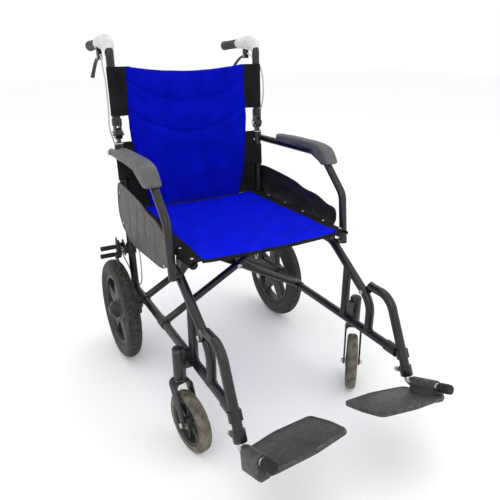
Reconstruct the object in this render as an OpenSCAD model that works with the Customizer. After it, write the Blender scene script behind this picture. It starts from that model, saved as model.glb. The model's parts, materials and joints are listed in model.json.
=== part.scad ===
// Folding attendant-propelled wheelchair. Front faces -Y, +X is the sitter's left, +Z is up.
// The origin is on the floor under the middle of the chair's length and width.

/* [Frame] */
// Half the distance between the centre planes of the two side frames
half_width = 220; // [200:5:250]
// Outer radius of the frame tubes
tube_r = 11; // [10:0.5:12]
// Height of the lower rail's centre line
rail_z = 207; // [206:0.5:208]
// Height of the seat-level frame tube's centre line
seat_tube_z = 404; // [403:0.5:406]
// Height of the top of the seat fabric
seat_top_z = 455; // [454:0.5:457]
// Distance of the rear axle behind the origin
axle_y = 271; // [255:1:280]

/* [Back] */
// Height of the half-folding hinge of the back canes
hinge_z = 661; // [655:1:668]
// Height of the top edge of the back fabric
back_top_z = 832; // [800:1:840]
// Height of the push handles' centre line at their rear end
handle_z = 884; // [875:1:890]
// Rear end of the push handles behind the rear axle
handle_end_y = 256; // [245:1:270]
// Downward slope of the push handles towards the rear
handle_slope = 4; // [2:0.5:6]

/* [Wheels] */
// Radius of the rear wheels
rear_r = 150; // [149:0.5:151]
// Distance of a rear wheel's middle plane from the chair's middle plane
rear_x = 272; // [271:0.5:275]
// Radius of the casters
caster_r = 75; // [74:0.5:75.5]
// Distance of the swivel stem ahead of the rear axle
caster_ahead = 442; // [438:1:446]
// Horizontal distance from the swivel stem to the caster's axle
caster_trail = 38; // [36:1:40]
// Swivel angle at which the right caster stands
right_swivel = 9; // [-20:1:20]
// Swivel angle at which the left caster stands
left_swivel = -39; // [-45:1:20]

/* [Cross brace] */
// Angle of a brace above the horizontal with the chair open
brace_angle = 28.8; // [28.6:0.1:29]
// Length of a brace from the lower rail to its upper end
brace_len = 484; // [483:1:485]

/* [Footrests] */
// Slope of the footplate's hinge rod, rising to the front
rod_slope = 24.2; // [22:0.1:25]
// Sideways tilt of the footplate, rising to the middle of the chair
plate_cant = 6.5; // [6:0.1:7]

/* [Hidden] */
$fn = 48;
right = -1;
left = 1;

black = "#1c1c1e";
dark = "#2e2e30";
grey = "#5c5c5d";
zinc = "#c5c5c5";
blue = "#1425c4";
foam = "#e6e6e4";

// Rear post: a straight leaning tube from the axle to the hinge
axle_z = rear_r;
hinge_y = 39.5;
post_lean = atan(hinge_y / (hinge_z - axle_z));
collar_top = 24;
cane_foot = 22;
knuckle_r = 15;
tongue = 8;
ear = 5;
side_gap = 0.3;

// Centre lines in the side view, as [distance from the rear axle, height]
front_path = [[18, seat_tube_z], [-369, seat_tube_z], [-538, 291], [-538, rail_z]];
hanger_x = half_width + 4;
hanger_path = [[-527, 331], [-595, 331], [-676.5, 161.5]];
hanger_r = 11;
hanger_lean = atan2(81.5, 169.5);
hanger_bolt = [-511, 311];
clamp_x = 4;
clamp_up = 10;
arm_x = half_width + 21;
arm_r = 10;
arm_bolt = [36, 611];
arm_path = [[-391, 398], [-374, 527], [-277, 617], [46, 611]];
cane_bend = 38;
elbow = [50, handle_z + (handle_end_y - 50) * tan(handle_slope)];
cane_path = [[hinge_y + 1, hinge_z + cane_foot + 6], elbow, [handle_end_y, handle_z]];
bend_r = 50;
rail_front = 628;

// Cross brace
pivot_r = 4;
brace_r = 10;
seat_rail_r = 10.5;
seat_rail_x = -half_width + brace_len * cos(brace_angle);
seat_rail_z = rail_z + brace_len * sin(brace_angle);
cross_z = rail_z + half_width * tan(brace_angle);
brace_gap = 22;
left_brace_y = [-240, -80];
right_brace_y = [left_brace_y[0] + brace_gap, left_brace_y[1] - brace_gap];

// Casters
caster_x = half_width + 37;
stem_r = 8;
bearing_r = 11;

// Footrest
rod_z = 147.7;
rod_y = hanger_path[2][0] - (hanger_path[2][1] - rod_z) * tan(hanger_lean);
rod_r = 9.5;
rod_start = 18;
rod_end = 88;
plate_top = -16.3;
plate_thick = 8;

// Parking brake: its pivot, its pedals and its shoe, as [distance from the rear axle, height]
brake_y = 16;
brake_z = 330;
park_plate_x = half_width + 38.3;
pedal_end = 308;
pedals = [[12, 344], [24, 316]];
shoe = [-48, 305];
shoe_r = 3;

// Hand brake
lever_x = half_width + 8;
clamp_y = -132;
lever_path = [[128, 856], [166, 846], [204, 822], [236, 797]];
grip_r = 13.2;

// ---------------------------------------------------------------- helpers

// Moves a shape drawn around the rear axle's floor point into the chair's frame, on one side
module at_side(side) {
    translate([0, axle_y, 0])
        mirror([side < 0 ? 1 : 0, 0, 0])
            children();
}

// Turns a shape drawn in the XY plane into the side view: X becomes Y and Y becomes Z
module side_view(x = 0) {
    translate([x, 0, 0])
        rotate([90, 0, 90])
            children();
}

module along_x(x, y, z, r, h) {
    translate([x, y, z])
        rotate([0, 90, 0])
            cylinder(r = r, h = h);
}

module along_y(x, y, z, r, h) {
    translate([x, y, z])
        rotate([-90, 0, 0])
            cylinder(r = r, h = h);
}

module ring_x(x, y, z, outer, inner, h) {
    difference() {
        along_x(x, y, z, outer, h);
        along_x(x - 1, y, z, inner, h + 2);
    }
}

function unit(v) = v / norm(v);
function turn(p, i) = 180 - acos(unit(p[i - 1] - p[i]) * unit(p[i + 1] - p[i]));
function setback(p, i, bend) = (i <= 0 || i >= len(p) - 1) ? 0 : bend * tan(turn(p, i) / 2);
function turns_left(u, w) = u[0] * w[1] > u[1] * w[0];
function on_line(a, b, distance) = a + unit(b - a) * distance;

// A bent tube along the points p in the XY plane. Each bend is a hair thicker than the
// straight runs, which reach into it.
module bent_tube(p, r, bend, swell = 0.15) {
    lap = 2;
    for (i = [0 : len(p) - 2]) {
        d = unit(p[i + 1] - p[i]);
        a = p[i] + d * (setback(p, i, bend) - (i > 0 ? lap : 0));
        b = p[i + 1] - d * (setback(p, i + 1, bend) - (i < len(p) - 2 ? lap : 0));
        translate([a[0], a[1], 0])
            rotate([0, 0, atan2(d[1], d[0])])
                rotate([0, 90, 0])
                    cylinder(r = r, h = norm(b - a));
    }
    for (i = [1 : 1 : len(p) - 2]) {
        u = unit(p[i] - p[i - 1]);
        w = unit(p[i + 1] - p[i]);
        s = turns_left(u, w) ? 1 : -1;
        centre = p[i] - u * setback(p, i, bend) + s * bend * [-u[1], u[0]];
        start = atan2(-s * u[0], s * u[1]);
        translate([centre[0], centre[1], 0])
            rotate([0, 0, s > 0 ? start : start - turn(p, i)])
                rotate_extrude(angle = turn(p, i))
                    translate([bend, 0])
                        circle(r = r + swell);
    }
}

// Points on a smooth curve through p, n to each span
function curve_point(a, b, c, d, t) =
    0.5 * (2 * b + (c - a) * t + (2 * a - 5 * b + 4 * c - d) * t * t + (3 * b - a - 3 * c + d) * t * t * t);
function smooth(p, n) = [
    for (i = [0 : len(p) - 2], k = [0 : n - 1])
        curve_point(p[max(i - 1, 0)], p[i], p[i + 1], p[min(i + 2, len(p) - 1)], k / n),
    p[len(p) - 1]
];
function smooth_loop(p, n) = [
    for (i = [0 : len(p) - 1], k = [0 : n - 1])
        curve_point(p[(i + len(p) - 1) % len(p)], p[i], p[(i + 1) % len(p)], p[(i + 2) % len(p)], k / n)
];

// A polygon's points with every corner rounded over the distance t
function fillet(a, b, c, t, n) = let (p = b + unit(a - b) * t, q = b + unit(c - b) * t) [
    for (k = [0 : n]) let (s = k / n) (1 - s) * (1 - s) * p + 2 * s * (1 - s) * b + s * s * q
];
function rounded(p, t, n = 5) = [
    for (i = [0 : len(p) - 1])
        each fillet(p[(i + len(p) - 1) % len(p)], p[i], p[(i + 1) % len(p)], t, n)
];

// A round cord through the points p, as one closed mesh
module cord(p, r, sides = 8) {
    n = len(p);
    tangent = [for (i = [0 : n - 1]) unit(p[min(i + 1, n - 1)] - p[max(i - 1, 0)])];
    rings = [
        for (i = [0 : n - 1])
            let (u = unit(cross(tangent[i], [1, 0, 0])), v = cross(tangent[i], u))
                for (k = [0 : sides - 1]) p[i] + r * (cos(360 * k / sides) * u + sin(360 * k / sides) * v)
    ];
    walls = [
        for (i = [0 : n - 2], k = [0 : sides - 1])
            let (a = i * sides + k, b = i * sides + (k + 1) % sides) [a, a + sides, b + sides, b]
    ];
    start_cap = [for (k = [0 : sides - 1]) k];
    end_cap = [for (k = [sides - 1 : -1 : 0]) (n - 1) * sides + k];
    polyhedron(points = rings, faces = concat(walls, [start_cap, end_cap]));
}

// ---------------------------------------------------------------- side frames

// The leaning centre line of the rear post, with the origin at the hinge
module on_post() {
    translate([half_width, hinge_y, hinge_z])
        rotate([-post_lean, 0, 0])
            children();
}

module post_solid(r, z_low = -540) {
    on_post()
        translate([0, 0, z_low])
            cylinder(r = r, h = -collar_top - z_low);
}

module rail_solid(r) {
    along_y(half_width, -rail_front, rail_z, r, rail_front + 4);
}

// The lower straight run of the footrest hanger, with the origin at its open end
module on_hanger() {
    translate([hanger_x, hanger_path[2][0], hanger_path[2][1]])
        rotate([-hanger_lean, 0, 0])
            children();
}

module hanger_solid(r) {
    side_view(hanger_x)
        bent_tube(hanger_path, r, bend_r);
}

module rear_post(side) {
    color(black)
        at_side(side)
            difference() {
                union() {
                    post_solid(tube_r);
                    on_post()
                        translate([0, 0, -collar_top - 20])
                            cylinder(r = tube_r + 2.5, h = 20);
                    on_post() {
                        along_x(-tongue / 2, 0, 0, knuckle_r, tongue);
                        translate([-tongue / 2, -10, -collar_top - 2])
                            cube([tongue, 20, collar_top]);
                    }
                    along_x(half_width - tube_r, 0, axle_z, 14, 2 * tube_r + 4);
                }
                along_x(half_width - 20, hinge_y, hinge_z, pivot_r, 40);
                along_x(half_width - 20, 0, axle_z, 6, 60);
                along_x(half_width - 30, arm_bolt[0], arm_bolt[1], 3, 60);
            }
}

// Half-round cradle on the seat-level tube, open upwards, in which the seat rail comes to rest
module seat_cradle(y) {
    length = 28;
    outer = seat_rail_x + seat_rail_r + 4;
    inner = seat_rail_x - seat_rail_r - 3;
    difference() {
        translate([0, y + length / 2, 0])
            rotate([90, 0, 0])
                linear_extrude(length)
                    polygon([
                        [outer, seat_tube_z + 4], [outer, seat_rail_z - 1], [inner, seat_rail_z - 1],
                        [inner, seat_rail_z - 9], [half_width - 9, seat_tube_z]
                    ]);
        along_y(seat_rail_x, y - length, seat_rail_z, seat_rail_r + side_gap, 2 * length);
    }
}

module front_tube(side) {
    color(black)
        at_side(side)
            difference() {
                union() {
                    side_view(half_width)
                        bent_tube(front_path, tube_r, 60);
                    for (y = [-370, -140])
                        seat_cradle(y);
                }
                post_solid(tube_r);
                rail_solid(tube_r);
                along_x(half_width - 20, hanger_bolt[0], hanger_bolt[1], 4, 60);
            }
}

// The rail carries a half-round saddle at its front end, in which the hanger rests
module lower_rail(side) {
    saddle_up = 40;
    saddle_h = 22;
    color(black)
        at_side(side)
            difference() {
                union() {
                    rail_solid(tube_r);
                    along_y(half_width, -642, rail_z, tube_r + 3, 36);
                    on_hanger()
                        intersection() {
                            translate([0, 0, saddle_up])
                                cylinder(r = hanger_r + 4, h = saddle_h);
                            translate([-20, -8, saddle_up - 1])
                                cube([40, 34, saddle_h + 2]);
                        }
                }
                on_hanger()
                    translate([0, 0, -20])
                        cylinder(r = hanger_r, h = 140);
                post_solid(tube_r);
            }
}

module caster_post(side) {
    color(black)
        at_side(side)
            difference() {
                union() {
                    translate([half_width, -caster_ahead + 1, rail_z])
                        cylinder(r = tube_r, h = 147);
                    translate([half_width + 6, -caster_ahead - 8, 200])
                        cube([caster_x - half_width - 12, 16, 46]);
                    translate([caster_x, -caster_ahead, 178])
                        cylinder(r = 15, h = 74);
                    translate([caster_x, -caster_ahead, 252])
                        cylinder(r1 = 15, r2 = 12.5, h = 4);
                }
                translate([caster_x, -caster_ahead, 177])
                    cylinder(r = bearing_r, h = 69);
                side_view(half_width)
                    bent_tube(front_path, tube_r, 60);
                rail_solid(tube_r);
            }
}

// Bent tube with a bolted tab at its top and a clamp collar around its open lower end
module hanger(side) {
    bore_depth = 130;
    color(black)
        at_side(side)
            difference() {
                union() {
                    hanger_solid(hanger_r);
                    side_view(half_width + tube_r)
                        linear_extrude(4)
                            union() {
                                translate(hanger_bolt)
                                    circle(r = 10);
                                polygon([[-519, 305], [-532, 323], [-532, 338], [-518, 338], [-502, 316]]);
                            }
                    on_hanger() {
                        translate([0, 0, -1])
                            cylinder(r = 14.5, h = 24);
                        along_y(clamp_x, 8, clamp_up, 7, 17);
                    }
                }
                on_hanger() {
                    translate([0, 0, -20])
                        cylinder(r = rod_r + 0.1, h = bore_depth + 20);
                    along_y(clamp_x, 11, clamp_up, 4, 40);
                }
                along_x(half_width, hanger_bolt[0], hanger_bolt[1], 4, 40);
            }
}

module arm_solid(r) {
    side_view(arm_x)
        bent_tube(arm_path, r, 45);
}

module arm_tube(side) {
    color(black)
        at_side(side)
            difference() {
                union() {
                    arm_solid(arm_r);
                    along_x(half_width, -388, seat_tube_z, 8, arm_x - half_width);
                }
                side_view(half_width)
                    bent_tube(front_path, tube_r, 60);
                along_x(half_width, arm_bolt[0], arm_bolt[1], 3, 60);
            }
}

// Its inner side stays clear of the seat rail, which rises past it as the chair folds
module arm_pad(side) {
    outline = concat(
        [[-70, 617], [-62, 622], [-62, 636], [-67, 641]],
        smooth([[-110, 642], [-200, 643.5], [-250, 643], [-284, 637.5], [-300, 627], [-311, 614], [-320, 601]], 3),
        smooth([[-320, 596], [-312, 592], [-292, 589], [-284, 594], [-256, 617], [-240, 621]], 3)
    );
    color(grey)
        at_side(side)
            difference() {
                side_view(half_width + 5.5)
                    linear_extrude(40)
                        polygon(outline);
                arm_solid(arm_r + 0.2);
            }
}

module side_guard(side) {
    outline = smooth_loop([
        [23, 393], [48, 420], [57, 455], [44, 512], [20, 528], [-80, 525], [-160, 518], [-213, 507],
        [-273, 503], [-320, 490], [-356, 484], [-362, 452], [-330, 408], [-295, 389], [-197, 379], [-67, 371]
    ], 4);
    color(grey)
        at_side(side)
            side_view(half_width + tube_r)
                linear_extrude(3)
                    polygon(outline);
}

// Clamp on the rear post with a U-shaped bracket that carries the parking brake
module brake_bracket(side) {
    plates = [half_width + 20, half_width + 33];
    outline = rounded([[0, 314], [34, 314], [34, 350], [20, 362], [0, 350]], 5);
    color(black)
        at_side(side)
            difference() {
                union() {
                    on_post()
                        translate([0, 0, brake_z - 14 - hinge_z])
                            cylinder(r = tube_r + 3.5, h = 30);
                    translate([half_width + 8, 4, brake_z - 10])
                        cube([13, 22, 20]);
                    for (x = plates)
                        side_view(x)
                            linear_extrude(3)
                                polygon(outline);
                    translate([plates[0] + 1, 30, 318])
                        cube([plates[1] - plates[0], 4, 28]);
                }
                post_solid(tube_r);
                along_x(half_width, brake_y, brake_z, pivot_r, 60);
            }
}

// ---------------------------------------------------------------- bolts, axles and bearings

module hex_bolt(length, r, head_r, head = 4) {
    cylinder(r = r, h = length);
    translate([0, 0, length])
        cylinder(r = head_r, h = head, $fn = 6);
}

module bearing(r_in, r_out, width) {
    difference() {
        cylinder(r = r_out, h = width);
        translate([0, 0, -1])
            cylinder(r = r_in, h = width + 2);
    }
}

module hardware(side) {
    hub = 24;
    color(zinc)
        at_side(side) {
            // rear axle bolt with its nut and its head
            along_x(half_width - 14, 0, axle_z, 5.95, rear_x + hub + 6 - half_width + 14);
            translate([half_width - 15, 0, axle_z])
                rotate([0, 90, 0])
                    cylinder(r = 10, h = 3.8, $fn = 6);
            translate([rear_x + hub + 2, 0, axle_z])
                rotate([0, 90, 0])
                    cylinder(r = 11, h = 7, $fn = 6);
            ring_x(half_width + tube_r + 4, 0, axle_z, 9, 6, rear_x - hub - half_width - tube_r - 3.2);
            // wheel bearings
            for (x = [rear_x - hub + 1, rear_x + hub - 9])
                translate([x, 0, axle_z])
                    rotate([0, 90, 0])
                        bearing(6, 14, 8);
            // swivel bearings
            for (z = [180, 236])
                translate([caster_x, -caster_ahead, z])
                    bearing(stem_r + 0.05, bearing_r, 7);
            // hinge pin
            along_x(half_width - 13, hinge_y, hinge_z, pivot_r - 0.05, 26);
            for (x = [half_width - 16, half_width + 13])
                along_x(x, hinge_y, hinge_z, 6.5, 3);
            // silver ring on top of the lower hinge collar
            on_post()
                translate([0, 0, -collar_top - 4])
                    difference() {
                        cylinder(r = tube_r + 3, h = 3);
                        translate([0, 0, -1])
                            cylinder(r = tube_r + 2.5, h = 5);
                    }
            // hanger bolt
            along_x(half_width - tube_r - 0.2, hanger_bolt[0], hanger_bolt[1], 3.95, 2 * tube_r + 4.4);
            for (x = [half_width - tube_r - 3.1, half_width + tube_r + 4.1])
                along_x(x, hanger_bolt[0], hanger_bolt[1], 6, 3);
            // clamp screw on the hanger
            on_hanger()
                translate([clamp_x, 11.5, clamp_up])
                    rotate([-90, 0, 0])
                        hex_bolt(21, 3.95, 6.5, 6);
            // parking brake pivot
            along_x(half_width + 16, brake_y, brake_z, pivot_r - 0.05, 27);
            along_x(park_plate_x + 4.3, brake_y, brake_z, 5.5, 3);
            // return spring of the parking brake
            ring_x(half_width + 24, brake_y, brake_z, 7, pivot_r, 8);
            // screws of the side guard
            for (p = [[22, 500], [14, 412], [-320, 404]])
                along_x(half_width + tube_r + 3, p[0], p[1], 4, 2);
            // bolt of the armrest's rear end
            along_x(half_width - 14, arm_bolt[0], arm_bolt[1], 2.95, arm_x - half_width + 26);
            for (x = [half_width - tube_r - 4, arm_x + arm_r])
                along_x(x, arm_bolt[0], arm_bolt[1], 5.5, 4);
        }
}

// ---------------------------------------------------------------- wheels

// Turns a wheel drawn around Z at the origin so that its axle lies along X
module axle_along_x() {
    rotate([0, 90, 0])
        children();
}

module rear_wheel_place(side) {
    at_side(side)
        translate([rear_x, 0, axle_z])
            axle_along_x()
                children();
}

module rear_tyre(side) {
    section_r = 23;
    bead_r = 107;
    color(dark)
        rear_wheel_place(side)
            rotate_extrude()
                difference() {
                    translate([rear_r - section_r, 0])
                        circle(r = section_r);
                    translate([0, -30])
                        square([bead_r, 60]);
                    translate([bead_r - 1, -13])
                        square([5, 26]);
                }
}

module rear_rim(side) {
    spokes = 5;
    hub = 24;
    color(black)
        rear_wheel_place(side)
            difference() {
                union() {
                    rotate_extrude()
                        difference() {
                            translate([97, -15])
                                square([10, 30]);
                            translate([90, -9])
                                square([9, 18]);
                        }
                    translate([0, 0, -12.5])
                        cylinder(r = 107, h = 25);
                    translate([0, 0, -hub])
                        cylinder(r = 25, h = 2 * hub);
                }
                for (i = [0 : spokes - 1])
                    rotate([0, 0, 360 * i / spokes])
                        translate([0, 0, -20])
                            linear_extrude(40)
                                polygon(rounded([[38, 0], [90, 42], [99, 0], [90, -42]], 11));
                rotate_extrude()
                    polygon([[30, 13], [96, 13], [94, 8], [34, 8]]);
                rotate_extrude()
                    polygon([[30, -13], [96, -13], [94, -8], [34, -8]]);
                translate([0, 0, -30])
                    cylinder(r = 10, h = 60);
                for (z = [-hub - 1, hub - 9])
                    translate([0, 0, z])
                        cylinder(r = 14.05, h = 10);
            }
}

// ---------------------------------------------------------------- casters

// Drawn with the swivel stem on Z and the wheel towards -Y, then swivelled
module caster_place(side, swivel) {
    translate([side * caster_x, axle_y - caster_ahead, 0])
        rotate([0, 0, swivel])
            children();
}

module caster_wheel_place(side, swivel) {
    caster_place(side, swivel)
        translate([0, -caster_trail, caster_r])
            axle_along_x()
                children();
}

module fork(side, swivel) {
    gap = 18.5;
    leg = 4;
    color(black)
        caster_place(side, swivel)
            difference() {
                union() {
                    for (x = [-gap - leg, gap])
                        side_view(x)
                            linear_extrude(leg)
                                union() {
                                    polygon([
                                        [17, 172], [17, 160], [-caster_trail + 10, caster_r], [-caster_trail - 10, caster_r],
                                        [-24, 150], [-17, 172]
                                    ]);
                                    translate([-caster_trail, caster_r])
                                        circle(r = 10);
                                }
                    translate([-gap - leg, -17, 166])
                        cube([2 * (gap + leg), 34, 6]);
                    translate([0, 0, 171])
                        cylinder(r = 14, h = 5);
                    translate([0, 0, 171])
                        cylinder(r = stem_r, h = 70);
                }
                along_x(-40, -caster_trail, caster_r, 4, 80);
            }
}

module caster_tyre(side, swivel) {
    color("#8f8b84")
        caster_wheel_place(side, swivel)
            rotate_extrude()
                polygon(concat(
                    [[57, -12], [60, -13]],
                    [for (a = [-90 : 15 : 0]) [caster_r - 7.5 + 7.5 * cos(a), -5.5 + 7.5 * sin(a)]],
                    [for (a = [0 : 15 : 90]) [caster_r - 7.5 + 7.5 * cos(a), 5.5 + 7.5 * sin(a)]],
                    [[60, 13], [57, 12]]
                ));
}

module caster_rim(side, swivel) {
    spokes = 6;
    color(black)
        caster_wheel_place(side, swivel)
            difference() {
                union() {
                    difference() {
                        translate([0, 0, -11])
                            cylinder(r = 57, h = 22);
                        translate([0, 0, -12])
                            cylinder(r = 49, h = 24);
                    }
                    translate([0, 0, -16])
                        cylinder(r = 15, h = 32);
                    for (i = [0 : spokes - 1])
                        rotate([0, 0, 360 * i / spokes])
                            translate([12, -4, -6])
                                cube([38, 8, 12]);
                }
                translate([0, 0, -20])
                    cylinder(r = 7, h = 40);
                for (z = [-17, 9])
                    translate([0, 0, z])
                        cylinder(r = bearing_r + 0.05, h = 8);
            }
}

module caster_axle(side, swivel) {
    color(zinc)
        caster_wheel_place(side, swivel) {
            translate([0, 0, -23])
                cylinder(r = 3.95, h = 46);
            for (z = [-28.5, 22.6])
                translate([0, 0, z])
                    cylinder(r = 6.5, h = 5.9, $fn = 6);
            for (z = [-16, 9])
                translate([0, 0, z])
                    bearing(4, bearing_r, 7);
            for (z = [-18.4, 16.1])
                translate([0, 0, z])
                    bearing(4, 6, 2.3);
        }
}

// ---------------------------------------------------------------- canes, handles and hand brakes

// The push handle's straight run, with the origin at its rear end and +Y along it, rearwards
module on_handle() {
    translate([half_width, handle_end_y, handle_z])
        rotate([-handle_slope, 0, 0])
            children();
}

module cane_solid(r) {
    side_view(half_width)
        bent_tube(cane_path, r, cane_bend);
}

module cane(side) {
    color(black)
        at_side(side)
            difference() {
                union() {
                    cane_solid(tube_r);
                    translate([half_width, hinge_y + 0.6, hinge_z + cane_foot])
                        cylinder(r = tube_r + 2.5, h = 18);
                    for (x = [-tongue / 2 - side_gap - ear, tongue / 2 + side_gap]) {
                        along_x(half_width + x, hinge_y, hinge_z, knuckle_r, ear);
                        translate([half_width + x, hinge_y - 10, hinge_z])
                            cube([ear, 20, cane_foot + 2]);
                    }
                }
                along_x(half_width - 20, hinge_y, hinge_z, pivot_r + 0.05, 40);
            }
}

module grip(side) {
    length = 102;
    color(grey)
        at_side(side)
            on_handle()
                difference() {
                    along_y(0, 4 - length, 0, grip_r, length);
                    along_y(0, -length, 0, tube_r, length);
                }
}

// The clamp's arm hangs from the handle and carries the brake lever's pivot
module clamp_arm(grow = 0) {
    width = 11;
    translate([lever_x - half_width - width / 2 - grow, clamp_y - grow, -30])
        cube([width + 2 * grow, 12 + 2 * grow, 24]);
}

module handle_wrap(side) {
    wrap_r = 17.5;
    end = on_line(elbow, cane_path[2], 106);
    bend_centre = elbow + cane_bend * [1, -1];
    color(foam)
        at_side(side)
            difference() {
                side_view(half_width)
                    bent_tube([elbow - [0, 40], elbow, end], wrap_r, cane_bend);
                cane_solid(tube_r + 0.2);
                translate([half_width, bend_centre[0], bend_centre[1]])
                    rotate([-40, 0, 0])
                        translate([-40, -100, -100])
                            cube([80, 200, 100]);
                on_handle() {
                    along_y(0, clamp_y - 0.5, 0, tube_r + 3.5, 13);
                    clamp_arm(0.5);
                }
            }
}

module lever_clamp(side) {
    color(black)
        at_side(side)
            difference() {
                union() {
                    on_handle() {
                        along_y(0, clamp_y, 0, tube_r + 3, 12);
                        clamp_arm();
                    }
                    for (x = [-5.5, 3])
                        translate([lever_x + x, lever_path[0][0] - 12, 848])
                            cube([2.5, 20, 24]);
                }
                on_handle()
                    along_y(0, clamp_y - 1, 0, tube_r, 14);
                along_x(lever_x - 10, lever_path[0][0], lever_path[0][1], 2.5, 20);
            }
}

module brake_lever(side) {
    pivot = lever_path[0];
    tip = lever_path[3];
    color(black)
        at_side(side) {
            side_view(lever_x)
                bent_tube(lever_path, 2.6, 14, 0.05);
            translate([lever_x, tip[0], tip[1]])
                sphere(r = 4.5);
            along_x(lever_x - 2.7, pivot[0], pivot[1], 6, 5.4);
            along_x(lever_x - 8, pivot[0], pivot[1], 2.4, 16);
        }
}

// The left cable stands off the cane in a wider bow than the right one
function cable_route(side) = let (bow = side > 0 ? 8 : 0) [
    [228, 119, 864], [230, 102, 858], [234, 82, 848], [238 + 0.4 * bow, 63, 831],
    [238 + 0.8 * bow, 51, 806], [238 + bow, 46, 775], [238 + bow, 45, 745], [238 + 0.7 * bow, 48, 716],
    [238 + 0.3 * bow, 56, 688], [234, 62, 660], [226, 64, 632], [220, 60, 600],
    [219, 54, 550], [218, 48, 495], [216, 44, 440], [211, 37, 402], [204, 18, 368], [203, -4, 330],
    [202, -10, 290], [202, -9, 250], [202, 0, 222], [205, 14, 209], [211, 29, 218], [219, 38, 242],
    [228, 40, 270], [238, 38, 298], [246, 36, 320]
];

module brake_cable(side) {
    color("#b9b9b4")
        at_side(side)
            cord(smooth(cable_route(side), 3), 2);
}

// Rocker with two sleeved pedals and the finger that presses on the tyre
module park_lever(side) {
    finger = 6;
    finger_x = rear_x - 3;
    finger_root = [-10, 321.5];
    color(black)
        at_side(side)
            difference() {
                union() {
                    side_view(park_plate_x)
                        linear_extrude(4)
                            union() {
                                polygon(rounded([[4, 348], [22, 372], [30, 344], [33, 312], [16, 306], [2, 322]], 6));
                                polygon([[6, 336], [18, 318], [-8, 316], [-12, 327]]);
                            }
                    along_x(park_plate_x, finger_root[0], finger_root[1], 5, finger_x + finger - park_plate_x);
                    side_view(finger_x)
                        linear_extrude(finger)
                            union() {
                                polygon([[-13, 326], [-7, 317], [shoe[0] + 1.5, shoe[1] - 2.6], [shoe[0] - 1.5, shoe[1] + 2.6]]);
                                translate(shoe)
                                    circle(r = shoe_r);
                            }
                    for (p = pedals)
                        along_x(park_plate_x, p[0], p[1], 6, pedal_end - park_plate_x);
                }
                along_x(half_width, brake_y, brake_z, pivot_r, 60);
            }
}

// ---------------------------------------------------------------- footrests

// Drawn with the hinge rod along -Y from the origin and +Z square to it
module rod_place(side) {
    at_side(side)
        translate([hanger_x, rod_y, rod_z])
            rotate([-rod_slope, 0, 0])
                children();
}

module foot_stem(side) {
    up = [cos(90 - hanger_lean), sin(90 - hanger_lean)];
    forward = [-cos(rod_slope), sin(rod_slope)];
    corner = [rod_y, rod_z];
    color(zinc)
        at_side(side)
            side_view(hanger_x)
                bent_tube([corner + 108 * up, corner, corner + 118 * forward], rod_r, 14);
    color(dark)
        rod_place(side)
            translate([0, -126, 0])
                rotate([-90, 0, 0])
                    difference() {
                        cylinder(r = 12, h = 30);
                        translate([0, 0, 6])
                            cylinder(r = rod_r + 0.05, h = 30);
                    }
}

module footplate(side) {
    outline = rounded([
        [4, 22], [-87, 36], [-177, 21], [-184, -50], [-180, -112], [-95, -119], [4, -106]
    ], 15);
    color(grey)
        rod_place(side)
            difference() {
                union() {
                    translate([0, -rod_end, 0])
                        rotate([-90, 0, 0])
                            cylinder(r = 14, h = rod_end - rod_start);
                    translate([0, -rod_start, 0])
                        rotate([90, 0, 0])
                            linear_extrude(rod_end - rod_start)
                                polygon([[-14, 0], [14, 0], [17, -30], [10, -36], [-8, -34], [-20, -18]]);
                    rotate([0, plate_cant, 0])
                        translate([0, 0, plate_top - plate_thick])
                            linear_extrude(plate_thick)
                                polygon(outline);
                }
                translate([0, -rod_end - 5, 0])
                    rotate([-90, 0, 0])
                        cylinder(r = rod_r + 0.1, h = 110);
            }
}

// ---------------------------------------------------------------- cross brace and seat

// A brace pivots on one lower rail and carries the seat rail of the other side
module brace(foot_side, places) {
    sleeve_r = 13;
    sleeve = 34;
    at_side(-foot_side)
        difference() {
            union() {
                for (y = places) {
                    along_y(-half_width, y - sleeve / 2, rail_z, sleeve_r, sleeve);
                    translate([-half_width, y, rail_z])
                        rotate([0, 90 - brace_angle, 0])
                            translate([0, 0, 10])
                                cylinder(r = brace_r, h = brace_len - 10);
                }
                along_y(seat_rail_x, -426, seat_rail_z, seat_rail_r, 418);
            }
            along_y(-half_width, -300, rail_z, tube_r + side_gap, 300);
            for (y = places)
                along_y(0, y - 15, cross_z, pivot_r, 30);
        }
}

module brace_to_left_rail() {
    color(black)
        brace(right, left_brace_y);
}

module brace_to_right_rail() {
    color(black)
        brace(left, right_brace_y);
}

module brace_bolts() {
    color(zinc)
        translate([0, axle_y, 0])
            for (y = [left_brace_y[0], right_brace_y[1]]) {
                along_y(0, y - brace_r - 2, cross_z, pivot_r - 0.02, brace_gap + 2 * brace_r + 4);
                for (end = [y - brace_r - 6.3, y + brace_gap + brace_r + 0.3])
                    translate([0, end, cross_z])
                        rotate([-90, 0, 0])
                            cylinder(r = 7.5, h = 6, $fn = 6);
            }
}

module seat_half(side) {
    front = -430;
    rear = 4;
    edge = seat_rail_x + 12;
    color(blue)
        at_side(side) {
            translate([0, front, seat_rail_z + seat_rail_r + 0.4])
                cube([edge, rear - front, seat_top_z - seat_rail_z - seat_rail_r - 0.4]);
            translate([0, front, seat_top_z - 11])
                cube([seat_rail_x - 18, rear - front, 8]);
        }
}

// ---------------------------------------------------------------- back fabric

back_thick = 13;
back_blue_x = 183;

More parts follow.
